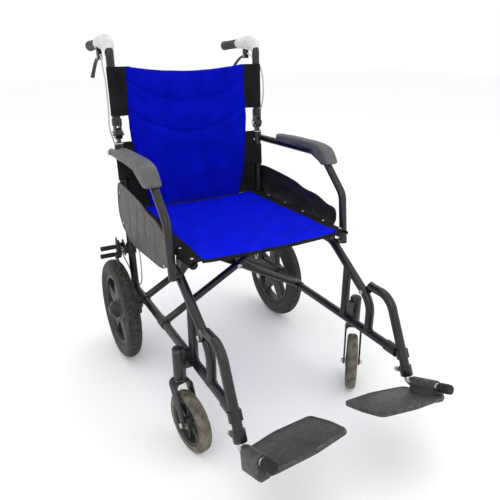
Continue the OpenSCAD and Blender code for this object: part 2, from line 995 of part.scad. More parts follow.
// The upper panel stays clear of the round edge that the lower panel has on the hinge axis
module back_upper(side) {
    panel_low = back_thick / 2 + 0.5;
    sleeve_low = 708;
    cane_lean = atan((elbow[0] - hinge_y) / (elbow[1] - hinge_z));
    color(blue)
        at_side(side)
            translate([0, hinge_y, hinge_z])
                rotate([-cane_lean, 0, 0])
                    difference() {
                        union() {
                            translate([0, -back_thick / 2, panel_low])
                                cube([back_blue_x, back_thick, back_top_z - hinge_z - panel_low]);
                            translate([back_blue_x - 1, -4, sleeve_low - hinge_z])
                                cube([half_width - back_blue_x, 8, back_top_z - sleeve_low]);
                            translate([half_width, 0, sleeve_low - hinge_z])
                                cylinder(r = tube_r + 4, h = back_top_z - sleeve_low);
                        }
                        translate([half_width, 0, sleeve_low - hinge_z - 5])
                            cylinder(r = tube_r + 0.9, h = back_top_z - sleeve_low + 10);
                    }
}

module back_lower(side) {
    flap_top = -24;
    panel = 222;
    color(blue)
        at_side(side)
            translate([0, hinge_y, hinge_z])
                rotate([-post_lean, 0, 0])
                    union() {
                        along_x(0, 0, 0, back_thick / 2, back_blue_x);
                        translate([0, -back_thick / 2, -panel])
                            cube([back_blue_x, back_thick, panel]);
                        translate([back_blue_x - 1, -3, -panel])
                            cube([half_width - tube_r - 3 - back_blue_x, 6, panel + flap_top]);
                    }
}

// ---------------------------------------------------------------- the chair

rear_post(right);  // rear_post_right
rear_post(left);  // rear_post_left
front_tube(right);  // front_tube_right
front_tube(left);  // front_tube_left
lower_rail(right);  // lower_rail_right
lower_rail(left);  // lower_rail_left
caster_post(right);  // caster_post_right
caster_post(left);  // caster_post_left
hanger(right);  // hanger_right
hanger(left);  // hanger_left
arm_tube(right);  // arm_tube_right
arm_tube(left);  // arm_tube_left
arm_pad(right);  // arm_pad_right
arm_pad(left);  // arm_pad_left
side_guard(right);  // side_guard_right
side_guard(left);  // side_guard_left
brake_bracket(right);  // brake_bracket_right
brake_bracket(left);  // brake_bracket_left
hardware(right);  // hardware_right
hardware(left);  // hardware_left
rear_tyre(right);  // rear_tyre_right
rear_tyre(left);  // rear_tyre_left
rear_rim(right);  // rear_rim_right
rear_rim(left);  // rear_rim_left
fork(right, right_swivel);  // fork_right
fork(left, left_swivel);  // fork_left
caster_tyre(right, right_swivel);  // caster_tyre_right
caster_tyre(left, left_swivel);  // caster_tyre_left
caster_rim(right, right_swivel);  // caster_rim_right
caster_rim(left, left_swivel);  // caster_rim_left
caster_axle(right, right_swivel);  // caster_axle_right
caster_axle(left, left_swivel);  // caster_axle_left
cane(right);  // cane_right
cane(left);  // cane_left
grip(right);  // grip_right
grip(left);  // grip_left
handle_wrap(right);  // handle_wrap_right
handle_wrap(left);  // handle_wrap_left
lever_clamp(right);  // lever_clamp_right
lever_clamp(left);  // lever_clamp_left
brake_lever(right);  // brake_lever_right
brake_lever(left);  // brake_lever_left
brake_cable(right);  // brake_cable_right
brake_cable(left);  // brake_cable_left
park_lever(right);  // park_lever_right
park_lever(left);  // park_lever_left
foot_stem(right);  // foot_stem_right
foot_stem(left);  // foot_stem_left
footplate(right);  // footplate_right
footplate(left);  // footplate_left
brace_to_left_rail();
brace_to_right_rail();
brace_bolts();
seat_half(right);  // seat_half_right
seat_half(left);  // seat_half_left
back_upper(right);  // back_upper_right
back_upper(left);  // back_upper_left
back_lower(right);  // back_lower_right
back_lower(left);  // back_lower_left
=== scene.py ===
import json
import math

import bmesh
import bpy
import numpy as np
from mathutils import Matrix, Vector, noise

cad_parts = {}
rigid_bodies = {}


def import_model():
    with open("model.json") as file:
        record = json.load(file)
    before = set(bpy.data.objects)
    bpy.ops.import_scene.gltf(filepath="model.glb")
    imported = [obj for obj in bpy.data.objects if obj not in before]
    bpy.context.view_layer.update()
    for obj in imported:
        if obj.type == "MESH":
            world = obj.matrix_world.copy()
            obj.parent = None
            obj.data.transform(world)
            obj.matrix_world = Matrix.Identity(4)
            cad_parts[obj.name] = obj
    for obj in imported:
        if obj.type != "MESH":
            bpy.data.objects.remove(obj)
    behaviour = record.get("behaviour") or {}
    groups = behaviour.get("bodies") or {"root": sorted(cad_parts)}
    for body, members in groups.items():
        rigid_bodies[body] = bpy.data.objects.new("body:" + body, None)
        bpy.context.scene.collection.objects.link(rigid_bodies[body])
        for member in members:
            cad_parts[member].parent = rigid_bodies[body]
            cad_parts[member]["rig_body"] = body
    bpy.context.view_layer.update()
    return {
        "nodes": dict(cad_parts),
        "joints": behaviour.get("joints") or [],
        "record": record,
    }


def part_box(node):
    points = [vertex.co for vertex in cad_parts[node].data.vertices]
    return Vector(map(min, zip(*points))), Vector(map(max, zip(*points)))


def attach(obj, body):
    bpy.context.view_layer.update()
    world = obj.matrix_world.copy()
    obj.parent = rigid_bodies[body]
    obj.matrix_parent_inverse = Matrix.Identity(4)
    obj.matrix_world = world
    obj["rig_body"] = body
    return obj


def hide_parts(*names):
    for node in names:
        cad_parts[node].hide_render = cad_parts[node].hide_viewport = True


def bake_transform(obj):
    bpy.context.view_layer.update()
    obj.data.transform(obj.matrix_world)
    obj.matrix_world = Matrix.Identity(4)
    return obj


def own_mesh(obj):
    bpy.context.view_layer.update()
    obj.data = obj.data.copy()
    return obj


# A folding wheelchair's looks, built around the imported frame. Lengths are in millimetres from the
# floor point under the rear axle until at() or metres() turns them into the row frame.
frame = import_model()

MM = 0.001
SIDES = (("right", -1), ("left", 1))
JOINTS = {j["name"]: j for j in frame["joints"]}


def middle(node):
    low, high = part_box(node)
    return (low + high) / 2


AXLE = middle("rear_tyre_right")
AXLE_Y = AXLE.y
HALF = round(-middle("cane_right").x / MM, 1)
HINGE = JOINTS["right_back_fold"]["pos_m"]
HINGE_Y = (HINGE[1] - AXLE_Y) / MM
HINGE_Z = HINGE[2] / MM
POST_LEAN = math.atan2(HINGE_Y, HINGE_Z - AXLE.z / MM)


def at(x, y, z):
    """A point given from the rear axle's floor point, in mm, as a point in the row frame."""
    return Vector((x * MM, AXLE_Y + y * MM, z * MM))


def metres(points):
    """The same for an array of points."""
    out = np.array(points, float) * MM
    out[..., 1] += AXLE_Y
    return out


# ---------------------------------------------------------------- materials

def srgb(r, g, b):
    def linear(v):
        v /= 255
        return v / 12.92 if v <= 0.04045 else ((v + 0.055) / 1.055) ** 2.4
    return (linear(r), linear(g), linear(b), 1.0)


class Shader:
    """A material made of a Principled surface with noise in its colour, roughness and bump."""

    def __init__(self, name, roughness=0.5, metallic=0.0, specular=0.5, coat=0.0, sheen=0.0):
        self.material = bpy.data.materials.new(name)
        self.material.use_nodes = True
        self.tree = self.material.node_tree
        self.tree.nodes.clear()
        self.surface = self.add("ShaderNodeBsdfPrincipled")
        output = self.add("ShaderNodeOutputMaterial")
        self.link(self.surface.outputs["BSDF"], output.inputs["Surface"])
        self.place = self.add("ShaderNodeTexCoord").outputs["Object"]
        for socket, value in (
            ("Roughness", roughness), ("Metallic", metallic), ("Specular IOR Level", specular),
            ("Coat Weight", coat), ("Sheen Weight", sheen),
        ):
            self.surface.inputs[socket].default_value = value
        self.normal = None

    def add(self, kind, **values):
        node = self.tree.nodes.new(kind)
        for key, value in values.items():
            setattr(node, key, value)
        return node

    def link(self, a, b):
        self.tree.links.new(a, b)

    def noise(self, scale, detail=4.0, stretch=None):
        node = self.add("ShaderNodeTexNoise")
        node.inputs["Scale"].default_value = scale
        node.inputs["Detail"].default_value = detail
        source = self.place
        if stretch:
            mapping = self.add("ShaderNodeMapping")
            mapping.inputs["Scale"].default_value = stretch
            self.link(self.place, mapping.inputs["Vector"])
            source = mapping.outputs["Vector"]
        self.link(source, node.inputs["Vector"])
        return node.outputs["Fac"]

    def ramp(self, value, low, high, to_low=0.0, to_high=1.0):
        node = self.add("ShaderNodeMapRange")
        self.link(value, node.inputs["Value"])
        for socket, v in (("From Min", low), ("From Max", high), ("To Min", to_low), ("To Max", to_high)):
            node.inputs[socket].default_value = v
        return node.outputs["Result"]

    def math(self, operation, a, b=None):
        node = self.add("ShaderNodeMath", operation=operation)
        for i, v in enumerate((a, b)):
            if v is None:
                continue
            if isinstance(v, (int, float)):
                node.inputs[i].default_value = v
            else:
                self.link(v, node.inputs[i])
        return node.outputs["Value"]

    def mix(self, factor, a, b):
        node = self.add("ShaderNodeMix", data_type="RGBA")
        self.link(factor, node.inputs["Factor"])
        for socket, v in ((node.inputs[6], a), (node.inputs[7], b)):
            if isinstance(v, tuple):
                socket.default_value = v
            else:
                self.link(v, socket)
        return node.outputs[2]

    def colour(self, value):
        if isinstance(value, tuple):
            self.surface.inputs["Base Color"].default_value = value
        else:
            self.link(value, self.surface.inputs["Base Color"])

    def rough(self, value, low, high):
        self.link(self.ramp(value, 0.3, 0.7, low, high), self.surface.inputs["Roughness"])

    def bump(self, height, distance, strength=1.0):
        node = self.add("ShaderNodeBump")
        node.inputs["Distance"].default_value = distance
        node.inputs["Strength"].default_value = strength
        self.link(height, node.inputs["Height"])
        if self.normal is not None:
            self.link(self.normal, node.inputs["Normal"])
        self.normal = node.outputs["Normal"]
        self.link(self.normal, self.surface.inputs["Normal"])

    def axes(self):
        node = self.add("ShaderNodeSeparateXYZ")
        self.link(self.place, node.inputs["Vector"])
        return node.outputs


def mottled(name, dark, light, scale, roughness, bumps=(), spread=(0.35, 0.65), wear=None, **options):
    """A surface whose colour wanders between two tones, with worn edges where wear gives a tone."""
    s = Shader(name, **options)
    tone = s.mix(s.ramp(s.noise(scale, 6), *spread), dark, light)
    if wear:
        pointy = s.add("ShaderNodeNewGeometry").outputs["Pointiness"]
        edge = s.math("MULTIPLY", s.ramp(pointy, 0.52, 0.6), s.ramp(s.noise(90, 5), 0.4, 0.62))
        tone = s.mix(edge, tone, wear)
    s.colour(tone)
    s.rough(s.noise(scale * 2.3, 5), *roughness)
    for bump_scale, distance, detail in bumps:
        s.bump(s.noise(bump_scale, detail), distance)
    return s.material


def woven(name, dark, light, axes, pitch, ribs=0.0, folds=0.0):
    """Plain-woven cloth. axes names the two directions of its threads."""
    s = Shader(name, specular=0.04)
    out = s.axes()
    waves = [s.math("SINE", s.math("MULTIPLY", out[a], math.pi / pitch)) for a in axes]
    weave = s.math("MULTIPLY", waves[0], waves[1])
    height = s.ramp(weave, -1, 1)
    patch = s.ramp(s.noise(22, 5), 0.3, 0.7)
    slub = s.ramp(s.noise(260, 3), 0.3, 0.7)
    tone = s.mix(patch, dark, light)
    # Painted shade: the colour darkens towards 0.62 of the dark tone in the weave's hollows between
    # threads; the slub noise varies the threads' tone at random.
    hollow_shade_and_slub = s.math("MULTIPLY", s.ramp(height, 0, 1, 0.35, 1), s.ramp(slub, 0, 1, 0.7, 1))
    s.colour(s.mix(hollow_shade_and_slub, tuple(0.62 * c for c in dark[:3]) + (1.0,), tone))
    s.rough(s.noise(120, 4), 0.75, 0.92)
    s.bump(height, pitch * 0.22, 0.8)
    if ribs:
        rib = s.math("SINE", s.math("MULTIPLY", out[axes[0]], 2 * math.pi / ribs))
        s.bump(s.ramp(rib, -1, 1), 0.0006, 0.7)
    if folds:
        s.bump(s.noise(14, 3, (1.0, 2.2, 1.4)), folds)
    return s.material


BLACK_PAINT = mottled(
    "satin_black_powder_coat", srgb(14, 14, 15), srgb(23, 23, 24), 26, (0.24, 0.38),
    bumps=((900, 0.00012, 3), (160, 0.0002, 3)), specular=0.5,
)
BLACK_FITTINGS = mottled(
    "black_coated_fittings", srgb(15, 15, 16), srgb(27, 27, 28), 60, (0.32, 0.5),
    bumps=((1100, 0.00012, 3),), specular=0.3, wear=srgb(90, 88, 85),
)
PAD_VINYL = mottled(
    "grey_armrest_foam", srgb(80, 80, 82), srgb(92, 92, 94), 34, (0.5, 0.66),
    bumps=((1500, 0.00022, 2), (420, 0.00018, 4)), specular=0.4,
)
GUARD_GREY = mottled(
    "grey_guard_plastic", srgb(55, 54, 53), srgb(64, 63, 62), 30, (0.42, 0.58),
    bumps=((1900, 0.00016, 2), (300, 0.00012, 4)), specular=0.42,
)
# The guard plastic darkened to near black for the left guard: painted shade on the chair's far side.
GUARD_PAINTED_SHADE = mottled(
    "guard_plastic_painted_shade", srgb(22, 22, 23), srgb(34, 34, 35), 30, (0.45, 0.62),
    bumps=((1900, 0.00016, 2),), specular=0.4,
)
ZINC = mottled(
    "bright_zinc", srgb(168, 168, 164), srgb(214, 214, 210), 140, (0.2, 0.42),
    bumps=((700, 0.00008, 4),), metallic=1.0,
)
TREAD = mottled(
    "rear_tread_rubber", srgb(38, 36, 33), srgb(60, 57, 52), 90, (0.66, 0.88),
    bumps=((1300, 0.00022, 3), (260, 0.0003, 4)), specular=0.3, wear=srgb(138, 132, 122),
)
TYRE = mottled(
    "rear_tyre_rubber", srgb(52, 50, 48), srgb(64, 62, 59), 48, (0.62, 0.82),
    bumps=((1300, 0.00018, 3),), specular=0.3,
)
CASTER_TYRE = mottled(
    "caster_tyre_rubber", srgb(72, 67, 56), srgb(112, 106, 92), 62, (0.5, 0.78),
    bumps=((900, 0.0002, 3), (120, 0.0003, 4)), specular=0.35, spread=(0.36, 0.62),
)
RIM = mottled(
    "black_rim_nylon", srgb(24, 23, 23), srgb(38, 37, 36), 40, (0.38, 0.55),
    bumps=((1500, 0.00014, 3),), wear=srgb(80, 78, 74),
)
GRIP = mottled(
    "grey_grip_rubber", srgb(58, 57, 57), srgb(80, 79, 79), 70, (0.6, 0.8),
    bumps=((1400, 0.00018, 3),), specular=0.35,
)
RUBBER_BLACK = mottled(
    "black_rubber", srgb(20, 20, 20), srgb(34, 34, 34), 80, (0.6, 0.8),
    bumps=((1300, 0.00018, 3),), specular=0.35,
)
FOAM = mottled(
    "white_foam_sleeve", srgb(196, 196, 195), srgb(216, 216, 215), 60, (0.5, 0.75),
    bumps=((700, 0.0003, 4), (130, 0.0008, 3)), specular=0.4, sheen=0.15,
)
CABLE = mottled(
    "pale_cable_sheath", srgb(176, 176, 170), srgb(204, 204, 198), 120, (0.25, 0.4),
    bumps=((600, 0.0001, 3),),
)
PLATE = mottled(
    "footplate_plastic", srgb(46, 46, 47), srgb(56, 56, 57), 36, (0.45, 0.62),
    bumps=((1700, 0.0002, 2), (260, 0.00015, 4)), specular=0.42, wear=srgb(104, 104, 102),
)
BEAD = mottled(
    "tyre_wall_line", srgb(88, 86, 82), srgb(112, 109, 104), 60, (0.6, 0.8),
    bumps=((1300, 0.0002, 3),), specular=0.3,
)
SEAT_BLUE = woven(
    "seat_blue_weave", srgb(2, 18, 205), srgb(4, 30, 240), (0, 1), 0.0021, ribs=0.0062, folds=0.004
)
BACK_BLUE = woven("back_blue_weave", srgb(2, 10, 168), srgb(4, 22, 206), (0, 2), 0.0021, folds=0.004)
SLEEVE_BLACK = woven("black_sleeve_weave", srgb(26, 26, 28), srgb(44, 44, 46), (0, 2), 0.0018, folds=0.005)
STRIP_BLACK = woven("black_strip_weave", srgb(28, 28, 30), srgb(46, 46, 46), (0, 1), 0.0018)

PAINT = {
    "black_paint": BLACK_PAINT, "black_fittings": BLACK_FITTINGS, "pad_vinyl": PAD_VINYL,
    "guard_plastic": GUARD_GREY, "zinc": ZINC, "rear_tyre_rubber": TYRE,
    "caster_tyre_rubber": CASTER_TYRE, "rim_plastic": RIM, "grip_rubber": GRIP,
    "white_foam": FOAM, "cable_sheath": CABLE, "footplate_plastic": PLATE,
    "seat_fabric": SEAT_BLUE, "back_fabric": BACK_BLUE,
}
SLOTS = {s["node"]: s["material_slot"] for s in frame["record"]["subparts"]}
for node, obj in frame["nodes"].items():
    obj.data.materials.clear()
    obj.data.materials.append(PAINT[SLOTS[node]])


# ---------------------------------------------------------------- mesh helpers

def piece(name, verts, faces, material, body=None):
    """A smooth mesh from points in mm, with its material and its body."""
    mesh = bpy.data.meshes.new(name)
    points = [tuple(map(float, v)) for v in metres(verts)]
    mesh.from_pydata(points, [], [tuple(map(int, f)) for f in faces])
    mesh.validate()
    b = bmesh.new()
    b.from_mesh(mesh)
    bmesh.ops.recalc_face_normals(b, faces=b.faces)
    b.to_mesh(mesh)
    b.free()
    obj = bpy.data.objects.new(name, mesh)
    bpy.context.scene.collection.objects.link(obj)
    mesh.materials.append(material)
    mesh.polygons.foreach_set("use_smooth", [True] * len(mesh.polygons))
    if body:
        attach(obj, body)
    return obj


def loft(rings, closed=False):
    """Vertices and faces of a skin over equal rings of points, capped at both ends, or closed into
    a ring from its last ring to its first."""
    rings = np.array(rings, float)
    n, k = rings.shape[:2]
    verts = rings.reshape(-1, 3)
    faces = [
        (i * k + j, i * k + (j + 1) % k, ((i + 1) % n) * k + (j + 1) % k, ((i + 1) % n) * k + j)
        for i in range(n if closed else n - 1) for j in range(k)
    ]
    if not closed:
        verts = np.vstack([verts, rings[0].mean(0), rings[-1].mean(0)])
        faces += [(n * k, (j + 1) % k, j) for j in range(k)]
        faces += [(n * k + 1, (n - 1) * k + j, (n - 1) * k + (j + 1) % k) for j in range(k)]
    return verts, faces


def skin(name, rings, material, body=None, closed=False):
    """A piece that is lofted over rings of points in mm."""
    verts, faces = loft(rings, closed=closed)
    return piece(name, verts, faces, material, body)


def turn_angles(n):
    """The angles of n equal steps round a circle."""
    return np.linspace(0, 2 * math.pi, n, endpoint=False)


def frames_along(path, hint=(1, 0, 0)):
    """For each point of a path: its tangent and two directions square to it, the first near hint."""
    path = np.array(path, float)
    tangent = np.gradient(path, axis=0)
    tangent /= np.linalg.norm(tangent, axis=1)[:, None]
    out = []
    for t in tangent:
        u = np.array(hint, float) - np.dot(hint, t) * t
        u /= np.linalg.norm(u)
        out.append((t, u, np.cross(t, u)))
    return out


def tube(path, radius, sides=16, hint=(1, 0, 0), flat=1.0):
    """Rings around a path. radius is a number or one for each point; flat squeezes across hint."""
    path = np.array(path, float)
    radius = np.broadcast_to(radius, len(path))
    rings = []
    for p, r, (_, u, v) in zip(path, radius, frames_along(path, hint)):
        rings.append([
            p + r * (math.cos(a) * u + flat * math.sin(a) * v)
            for a in turn_angles(sides)
        ])
    return rings


def smooth_path(points, steps):
    """A Catmull-Rom curve through the points."""
    p = np.array(points, float)
    out = []
    for i in range(len(p) - 1):
        a, b, c, d = p[max(i - 1, 0)], p[i], p[i + 1], p[min(i + 2, len(p) - 1)]
        for k in range(steps):
            t = k / steps
            out.append(0.5 * (2 * b + (c - a) * t + (2 * a - 5 * b + 4 * c - d) * t * t
                              + (3 * b - a - 3 * c + d) * t ** 3))
    out.append(p[-1])
    return np.array(out)


def rounded_outline(points, cut, steps=5):
    """A polygon with each corner rounded over the distance cut."""
    p = [np.array(q, float) for q in points]
    out = []
    for i, b in enumerate(p):
        a, c = p[i - 1], p[(i + 1) % len(p)]
        s = b + (a - b) / np.linalg.norm(a - b) * cut
        e = b + (c - b) / np.linalg.norm(c - b) * cut
        for k in range(steps + 1):
            t = k / steps
            out.append((1 - t) ** 2 * s + 2 * t * (1 - t) * b + t * t * e)
    return np.array(out)


def lathe(profile, centre, axis, segments=64, shift=None):
    """Rings of (distance along the axis, radius) turned about an axis through centre, in mm. shift
    gives an extra radius for a profile point's number, the angle, the distance and the radius."""
    w = np.array(axis, float)
    w /= np.linalg.norm(w)
    u = np.cross(w, (0, 0, 1)) if abs(w[2]) < 0.9 else np.cross(w, (0, 1, 0))
    u /= np.linalg.norm(u)
    v = np.cross(w, u)
    rings = []
    for i in range(segments):
        a = 2 * math.pi * i / segments
        out = math.cos(a) * u + math.sin(a) * v
        ring = []
        for j, (h, r) in enumerate(profile):
            r = r + (shift(j, a, h, r) if shift else 0)
            ring.append(np.array(centre, float) + w * h + out * r)
        rings.append(ring)
    return rings


def turned(name, profile, centre, axis, material, body, segments=32):
    """A solid of revolution whose profile starts and ends on the axis or closes on itself."""
    obj = skin(name, lathe(profile, centre, axis, segments), material, closed=True)
    b = bmesh.new()
    b.from_mesh(obj.data)
    bmesh.ops.remove_doubles(b, verts=b.verts, dist=1e-6)
    bmesh.ops.recalc_face_normals(b, faces=b.faces)
    b.to_mesh(obj.data)
    b.free()
    sharpen(obj)
    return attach(obj, body)


def sharpen(obj, degrees=35):
    """Smooth shading, broken where faces meet at more than this angle."""
    obj.data.polygons.foreach_set("use_smooth", [True] * len(obj.data.polygons))
    obj.data.set_sharp_from_angle(angle=math.radians(degrees))


def bake_modifiers(obj):
    deps = bpy.context.evaluated_depsgraph_get()
    mesh = bpy.data.meshes.new_from_object(obj.evaluated_get(deps))
    old = obj.data
    obj.modifiers.clear()
    obj.data = mesh
    bpy.data.meshes.remove(old)


def softened(node, width, material=None, segments=2, angle=32):
    """A copy of a CAD node with its sharp edges rounded, which stands for the node."""
    source = frame["nodes"][node]
    mesh = source.data.copy()
    obj = bpy.data.objects.new(node + "_soft", mesh)
    bpy.context.scene.collection.objects.link(obj)
    b = bmesh.new()
    b.from_mesh(mesh)
    bmesh.ops.remove_doubles(b, verts=b.verts, dist=2e-6)
    bmesh.ops.dissolve_limit(
        b, angle_limit=math.radians(0.6), verts=b.verts, edges=b.edges, delimit={"NORMAL"}
    )
    b.to_mesh(mesh)
    b.free()
    m = obj.modifiers.new("edge", "BEVEL")
    m.width = width * MM
    m.segments = segments
    m.limit_method = "ANGLE"
    m.angle_limit = math.radians(angle)
    m.use_clamp_overlap = True
    m.harden_normals = False
    bake_modifiers(obj)
    sharpen(obj, 40)
    obj.data.materials.clear()
    obj.data.materials.append(material or source.data.materials[0])
    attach(obj, source["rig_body"])
    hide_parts(node)
    return obj


def inflate(obj, pinned, pressure, cap, frames=20):
    """Blows a closed mesh up as cloth, holding the pinned vertices, and caps how far a point moves."""
    rest = np.array([v.co for v in obj.data.vertices], float)
    group = obj.vertex_groups.new(name="held")
    group.add([int(i) for i in np.nonzero(pinned)[0]], 1.0, "REPLACE")
    cloth = obj.modifiers.new("cloth", "CLOTH")
    s = cloth.settings
    s.quality = 6
    s.mass = 0.25
    s.tension_stiffness = s.compression_stiffness = 14
    s.shear_stiffness = 6
    s.bending_stiffness = 0.6
    s.use_pressure = True
    s.uniform_pressure_force = pressure
    s.vertex_group_mass = "held"
    s.effector_weights.gravity = 0
    cloth.collision_settings.use_collision = False
    scene = bpy.context.scene
    scene.frame_start, scene.frame_end = 1, frames
    cloth.point_cache.frame_start, cloth.point_cache.frame_end = 1, frames
    for f in range(1, frames + 1):
        scene.frame_set(f)
    deps = bpy.context.evaluated_depsgraph_get()
    moved = np.array([v.co for v in obj.evaluated_get(deps).data.vertices], float)
    obj.modifiers.clear()
    obj.vertex_groups.clear()
    scene.frame_set(1)
    step = moved - rest
    far = np.linalg.norm(step, axis=1)
    step *= np.minimum(1, cap * MM / np.maximum(far, 1e-9))[:, None]
    obj.data.vertices.foreach_set("co", (rest + step).astype(np.float32).ravel())
    obj.data.update()


def subdivide(obj, levels=1):
    m = obj.modifiers.new("smooth", "SUBSURF")
    m.levels = m.render_levels = levels
    bake_modifiers(obj)
    obj.data.polygons.foreach_set("use_smooth", [True] * len(obj.data.polygons))


def ease(t):
    t = np.clip(t, 0, 1)
    return t * t * (3 - 2 * t)


# ---------------------------------------------------------------- camera, floor and light

def set_stage():
    scene = bpy.context.scene
    scene.view_settings.view_transform = "Standard"
    data = bpy.data.cameras.new("camera")
    data.sensor_width = 36
    data.lens = 36.51
    camera = bpy.data.objects.new("camera", data)
    scene.collection.objects.link(camera)
    camera.location = at(-590, -1373, 889)
    back = Vector((-0.4505, -0.8097, 0.3762)).normalized()
    camera.rotation_euler = back.to_track_quat("Z", "Y").to_euler()
    scene.camera = camera

    floor = bpy.data.meshes.new("floor")
    size = 14
    corners = [(-size, -size, 0), (size, -size, 0), (size, size, 0), (-size, size, 0)]
    floor.from_pydata(corners, [], [(0, 1, 2, 3)])
    ground = bpy.data.objects.new("floor", floor)
    scene.collection.objects.link(ground)
    s = Shader("pale_floor", roughness=0.9, specular=0.1)
    s.colour(srgb(252, 252, 252))
    floor.materials.append(s.material)

    world = bpy.data.worlds.new("studio")
    scene.world = world
    world.use_nodes = True
    world.node_tree.nodes["Background"].inputs["Color"].default_value = (1, 1, 1, 1)
    world.node_tree.nodes["Background"].inputs["Strength"].default_value = 1.0
    for name, place, aim, width, power in (
        ("key", (-1.6, -2.2, 3.0), (0, 0, 0.4), 2.4, 25),
        ("fill", (2.6, -1.6, 1.8), (0, 0, 0.4), 2.4, 10),
        ("top", (0.2, 0.6, 3.6), (0, 0, 0.3), 3.0, 18),
    ):
        light = bpy.data.lights.new(name, "AREA")
        light.size = width
        light.energy = power
        lamp = bpy.data.objects.new(name, light)
        scene.collection.objects.link(lamp)
        lamp.location = place
        lamp.rotation_euler = (Vector(place) - Vector(aim)).to_track_quat("Z", "Y").to_euler()


# ---------------------------------------------------------------- fabric

BLUE_X = 183
PANEL_THICK = 13.0

# Half the width of the blue panels on the right (-1) and left (1), as (height over the hinge, half-width)
LOWER_EDGE = ((-225, 145), (-180, 154), (-120, 168), (-60, 175), (-24, 177))
EDGES = {
    -1: LOWER_EDGE + ((-15, 187), (0, 187), (47, 187), (120, 184), (173, 181.5)),
    1: LOWER_EDGE + ((-15, 180), (20, 182), (55, 179), (120, 174), (173, 175)),
}
LOWER_REACH = 222


def edge_x(w, sign):
    heights, halves = zip(*EDGES[sign])
    return float(np.interp(w, heights, halves))


def seam_high(x):
    return 77 + 57 * (abs(x) / 176) ** 2.1


def seam_low(x):
    return -9 + 66 * (abs(x) / 178) ** 2.0


def top_edge(x):
    return 159 + 14 * (abs(x) / 176) ** 2


def panel_point(x, v, n, lean):
    """A point on a back panel: v up it from the hinge, n out of it towards the front."""
    return np.array([
        x,
        HINGE_Y + v * math.sin(lean) - n * math.cos(lean),
        HINGE_Z + v * math.cos(lean) + n * math.sin(lean),
    ])


def back_panel(name, lean, up, reach, body):
    """A padded panel from the hinge, up or down, whose half-round edge lies on the hinge axis."""
    columns, rows, hinge_steps = 92, 42, 8
    half_thick = PANEL_THICK / 2
    front_pinch, back_pinch = 5.6, 3.0
    rings, held = [], []
    for i in range(columns + 1):
        s = -1 + 2 * i / columns
        loop, pins = [], []
        for side in (1, -1):
            order = range(rows + 1) if side > 0 else range(rows, -1, -1)
            for j in order:
                v = reach(s) * j / rows
                half = edge_x(v if up else -v, 1 if s > 0 else -1)
                x = s * half
                rim = (1 - abs(s)) * half
                near_edge = min(rim / 9, 1)
                near_end = min((reach(s) - v) / 7, 1)
                thick = half_thick * (0.3 + 0.7 * math.sqrt(max(0, 1 - (1 - near_edge) ** 2)))
                thick *= 0.25 + 0.75 * math.sqrt(max(0, 1 - (1 - near_end) ** 2))
                w = v if up else -v
                seams = [abs(w - seam(x)) for seam in (seam_low, seam_high)]
                pinch = math.exp(-(min(seams) / 4.2) ** 2) * ease(rim / 12)
                bow = -13 * (1 - s * s) * ease(v / 110)
                depth = front_pinch if side > 0 else back_pinch
                n = side * (thick - depth * pinch) + bow
                loop.append(panel_point(x, w, n, lean))
                on_seam = min(seams) < 2.6
                pins.append(rim < 5 or v < 5 or on_seam or reach(s) - v < 3)
            if side < 0:
                half = edge_x(0, 1 if s > 0 else -1)
                for k in range(1, hinge_steps):
                    a = math.pi * k / hinge_steps
                    thick = half_thick * (0.3 + 0.7 * math.sqrt(max(0, 1 - (1 - near_edge) ** 2)))
                    pinch0 = math.exp(-(seam_low(s * half) / 4.2) ** 2) * ease((1 - abs(s)) * half / 12)
                    r_front = thick - front_pinch * pinch0
                    r_back = thick - back_pinch * pinch0
                    n = -math.cos(a) * (r_back if a < math.pi / 2 else r_front)
                    w = -math.sin(a) * min(r_back, r_front) * (1 if up else -1)
                    loop.append(panel_point(s * half, w, n, lean))
                    pins.append(True)
        rings.append(loop)
        held += pins
    held += [True, True]
    obj = skin(name, rings, BACK_BLUE)
    inflate(obj, np.array(held), 3.0, 5.0)
    crumple(obj, 0.9, 26, 3)
    subdivide(obj)
    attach(obj, body)
    return obj


def crumple(obj, height, scale, seed):
    """Moves each vertex along its normal by a soft noise, in mm."""
    mesh = obj.data
    for v in mesh.vertices:
        p = v.co * scale + Vector((seed, seed * 2.3, 0))
        v.co += v.normal * noise.noise(p) * height * MM
    mesh.update()


def fold_squash(obj):
    """Gives a fabric piece its own copy of its mesh."""
    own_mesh(obj)


SEAT_RAIL_X = 204.14
SEAT_RAIL_Z = 440.17
SEAT_FRONT = -436
SEAT_REAR = 4
SEAT_MIDDLE_Z = 450.2
SEAT_SAG = 9


def seat_half_width(y):
    return 177 + 12 * min(1, -(y - SEAT_REAR) / 430)


def seat_panel():
    columns, rows = 90, 96
    rings, held = [], []
    for i in range(columns + 1):
        s = -1 + 2 * i / columns
        loop, pins = [], []
        for side in (1, -1):
            order = range(rows + 1) if side > 0 else range(rows, -1, -1)
            for j in order:
                t = j / rows
                front = SEAT_FRONT - 3 * (1 - s * s)
                y = SEAT_REAR + (front - SEAT_REAR) * t
                half = seat_half_width(y)
                x = s * half
                near_edge = min((1 - abs(s)) * half / 8, 1)
                to_end = min(t, 1 - t) * (SEAT_REAR - SEAT_FRONT)
                near_end = min(to_end / 7, 1)
                thick = 4.6 * (0.3 + 0.7 * math.sqrt(max(0, 1 - (1 - near_edge) ** 2)))
                thick *= 0.3 + 0.7 * math.sqrt(max(0, 1 - (1 - near_end) ** 2))
                sag = -SEAT_SAG * (1 - s * s) ** 0.8 * (0.45 + 0.55 * math.sin(math.pi * t))
                loop.append((x, y, SEAT_MIDDLE_Z + sag + side * thick))
                pins.append((1 - abs(s)) * half < 5 or to_end < 4)
        rings.append(loop)
        held += pins
    held += [True, True]
    obj = skin("seat_panel", rings, SEAT_BLUE)
    inflate(obj, np.array(held), 3.0, 4.0)
    crumple(obj, 1.6, 11, 5)
    crumple(obj, 0.5, 34, 9)
    subdivide(obj)
    return obj


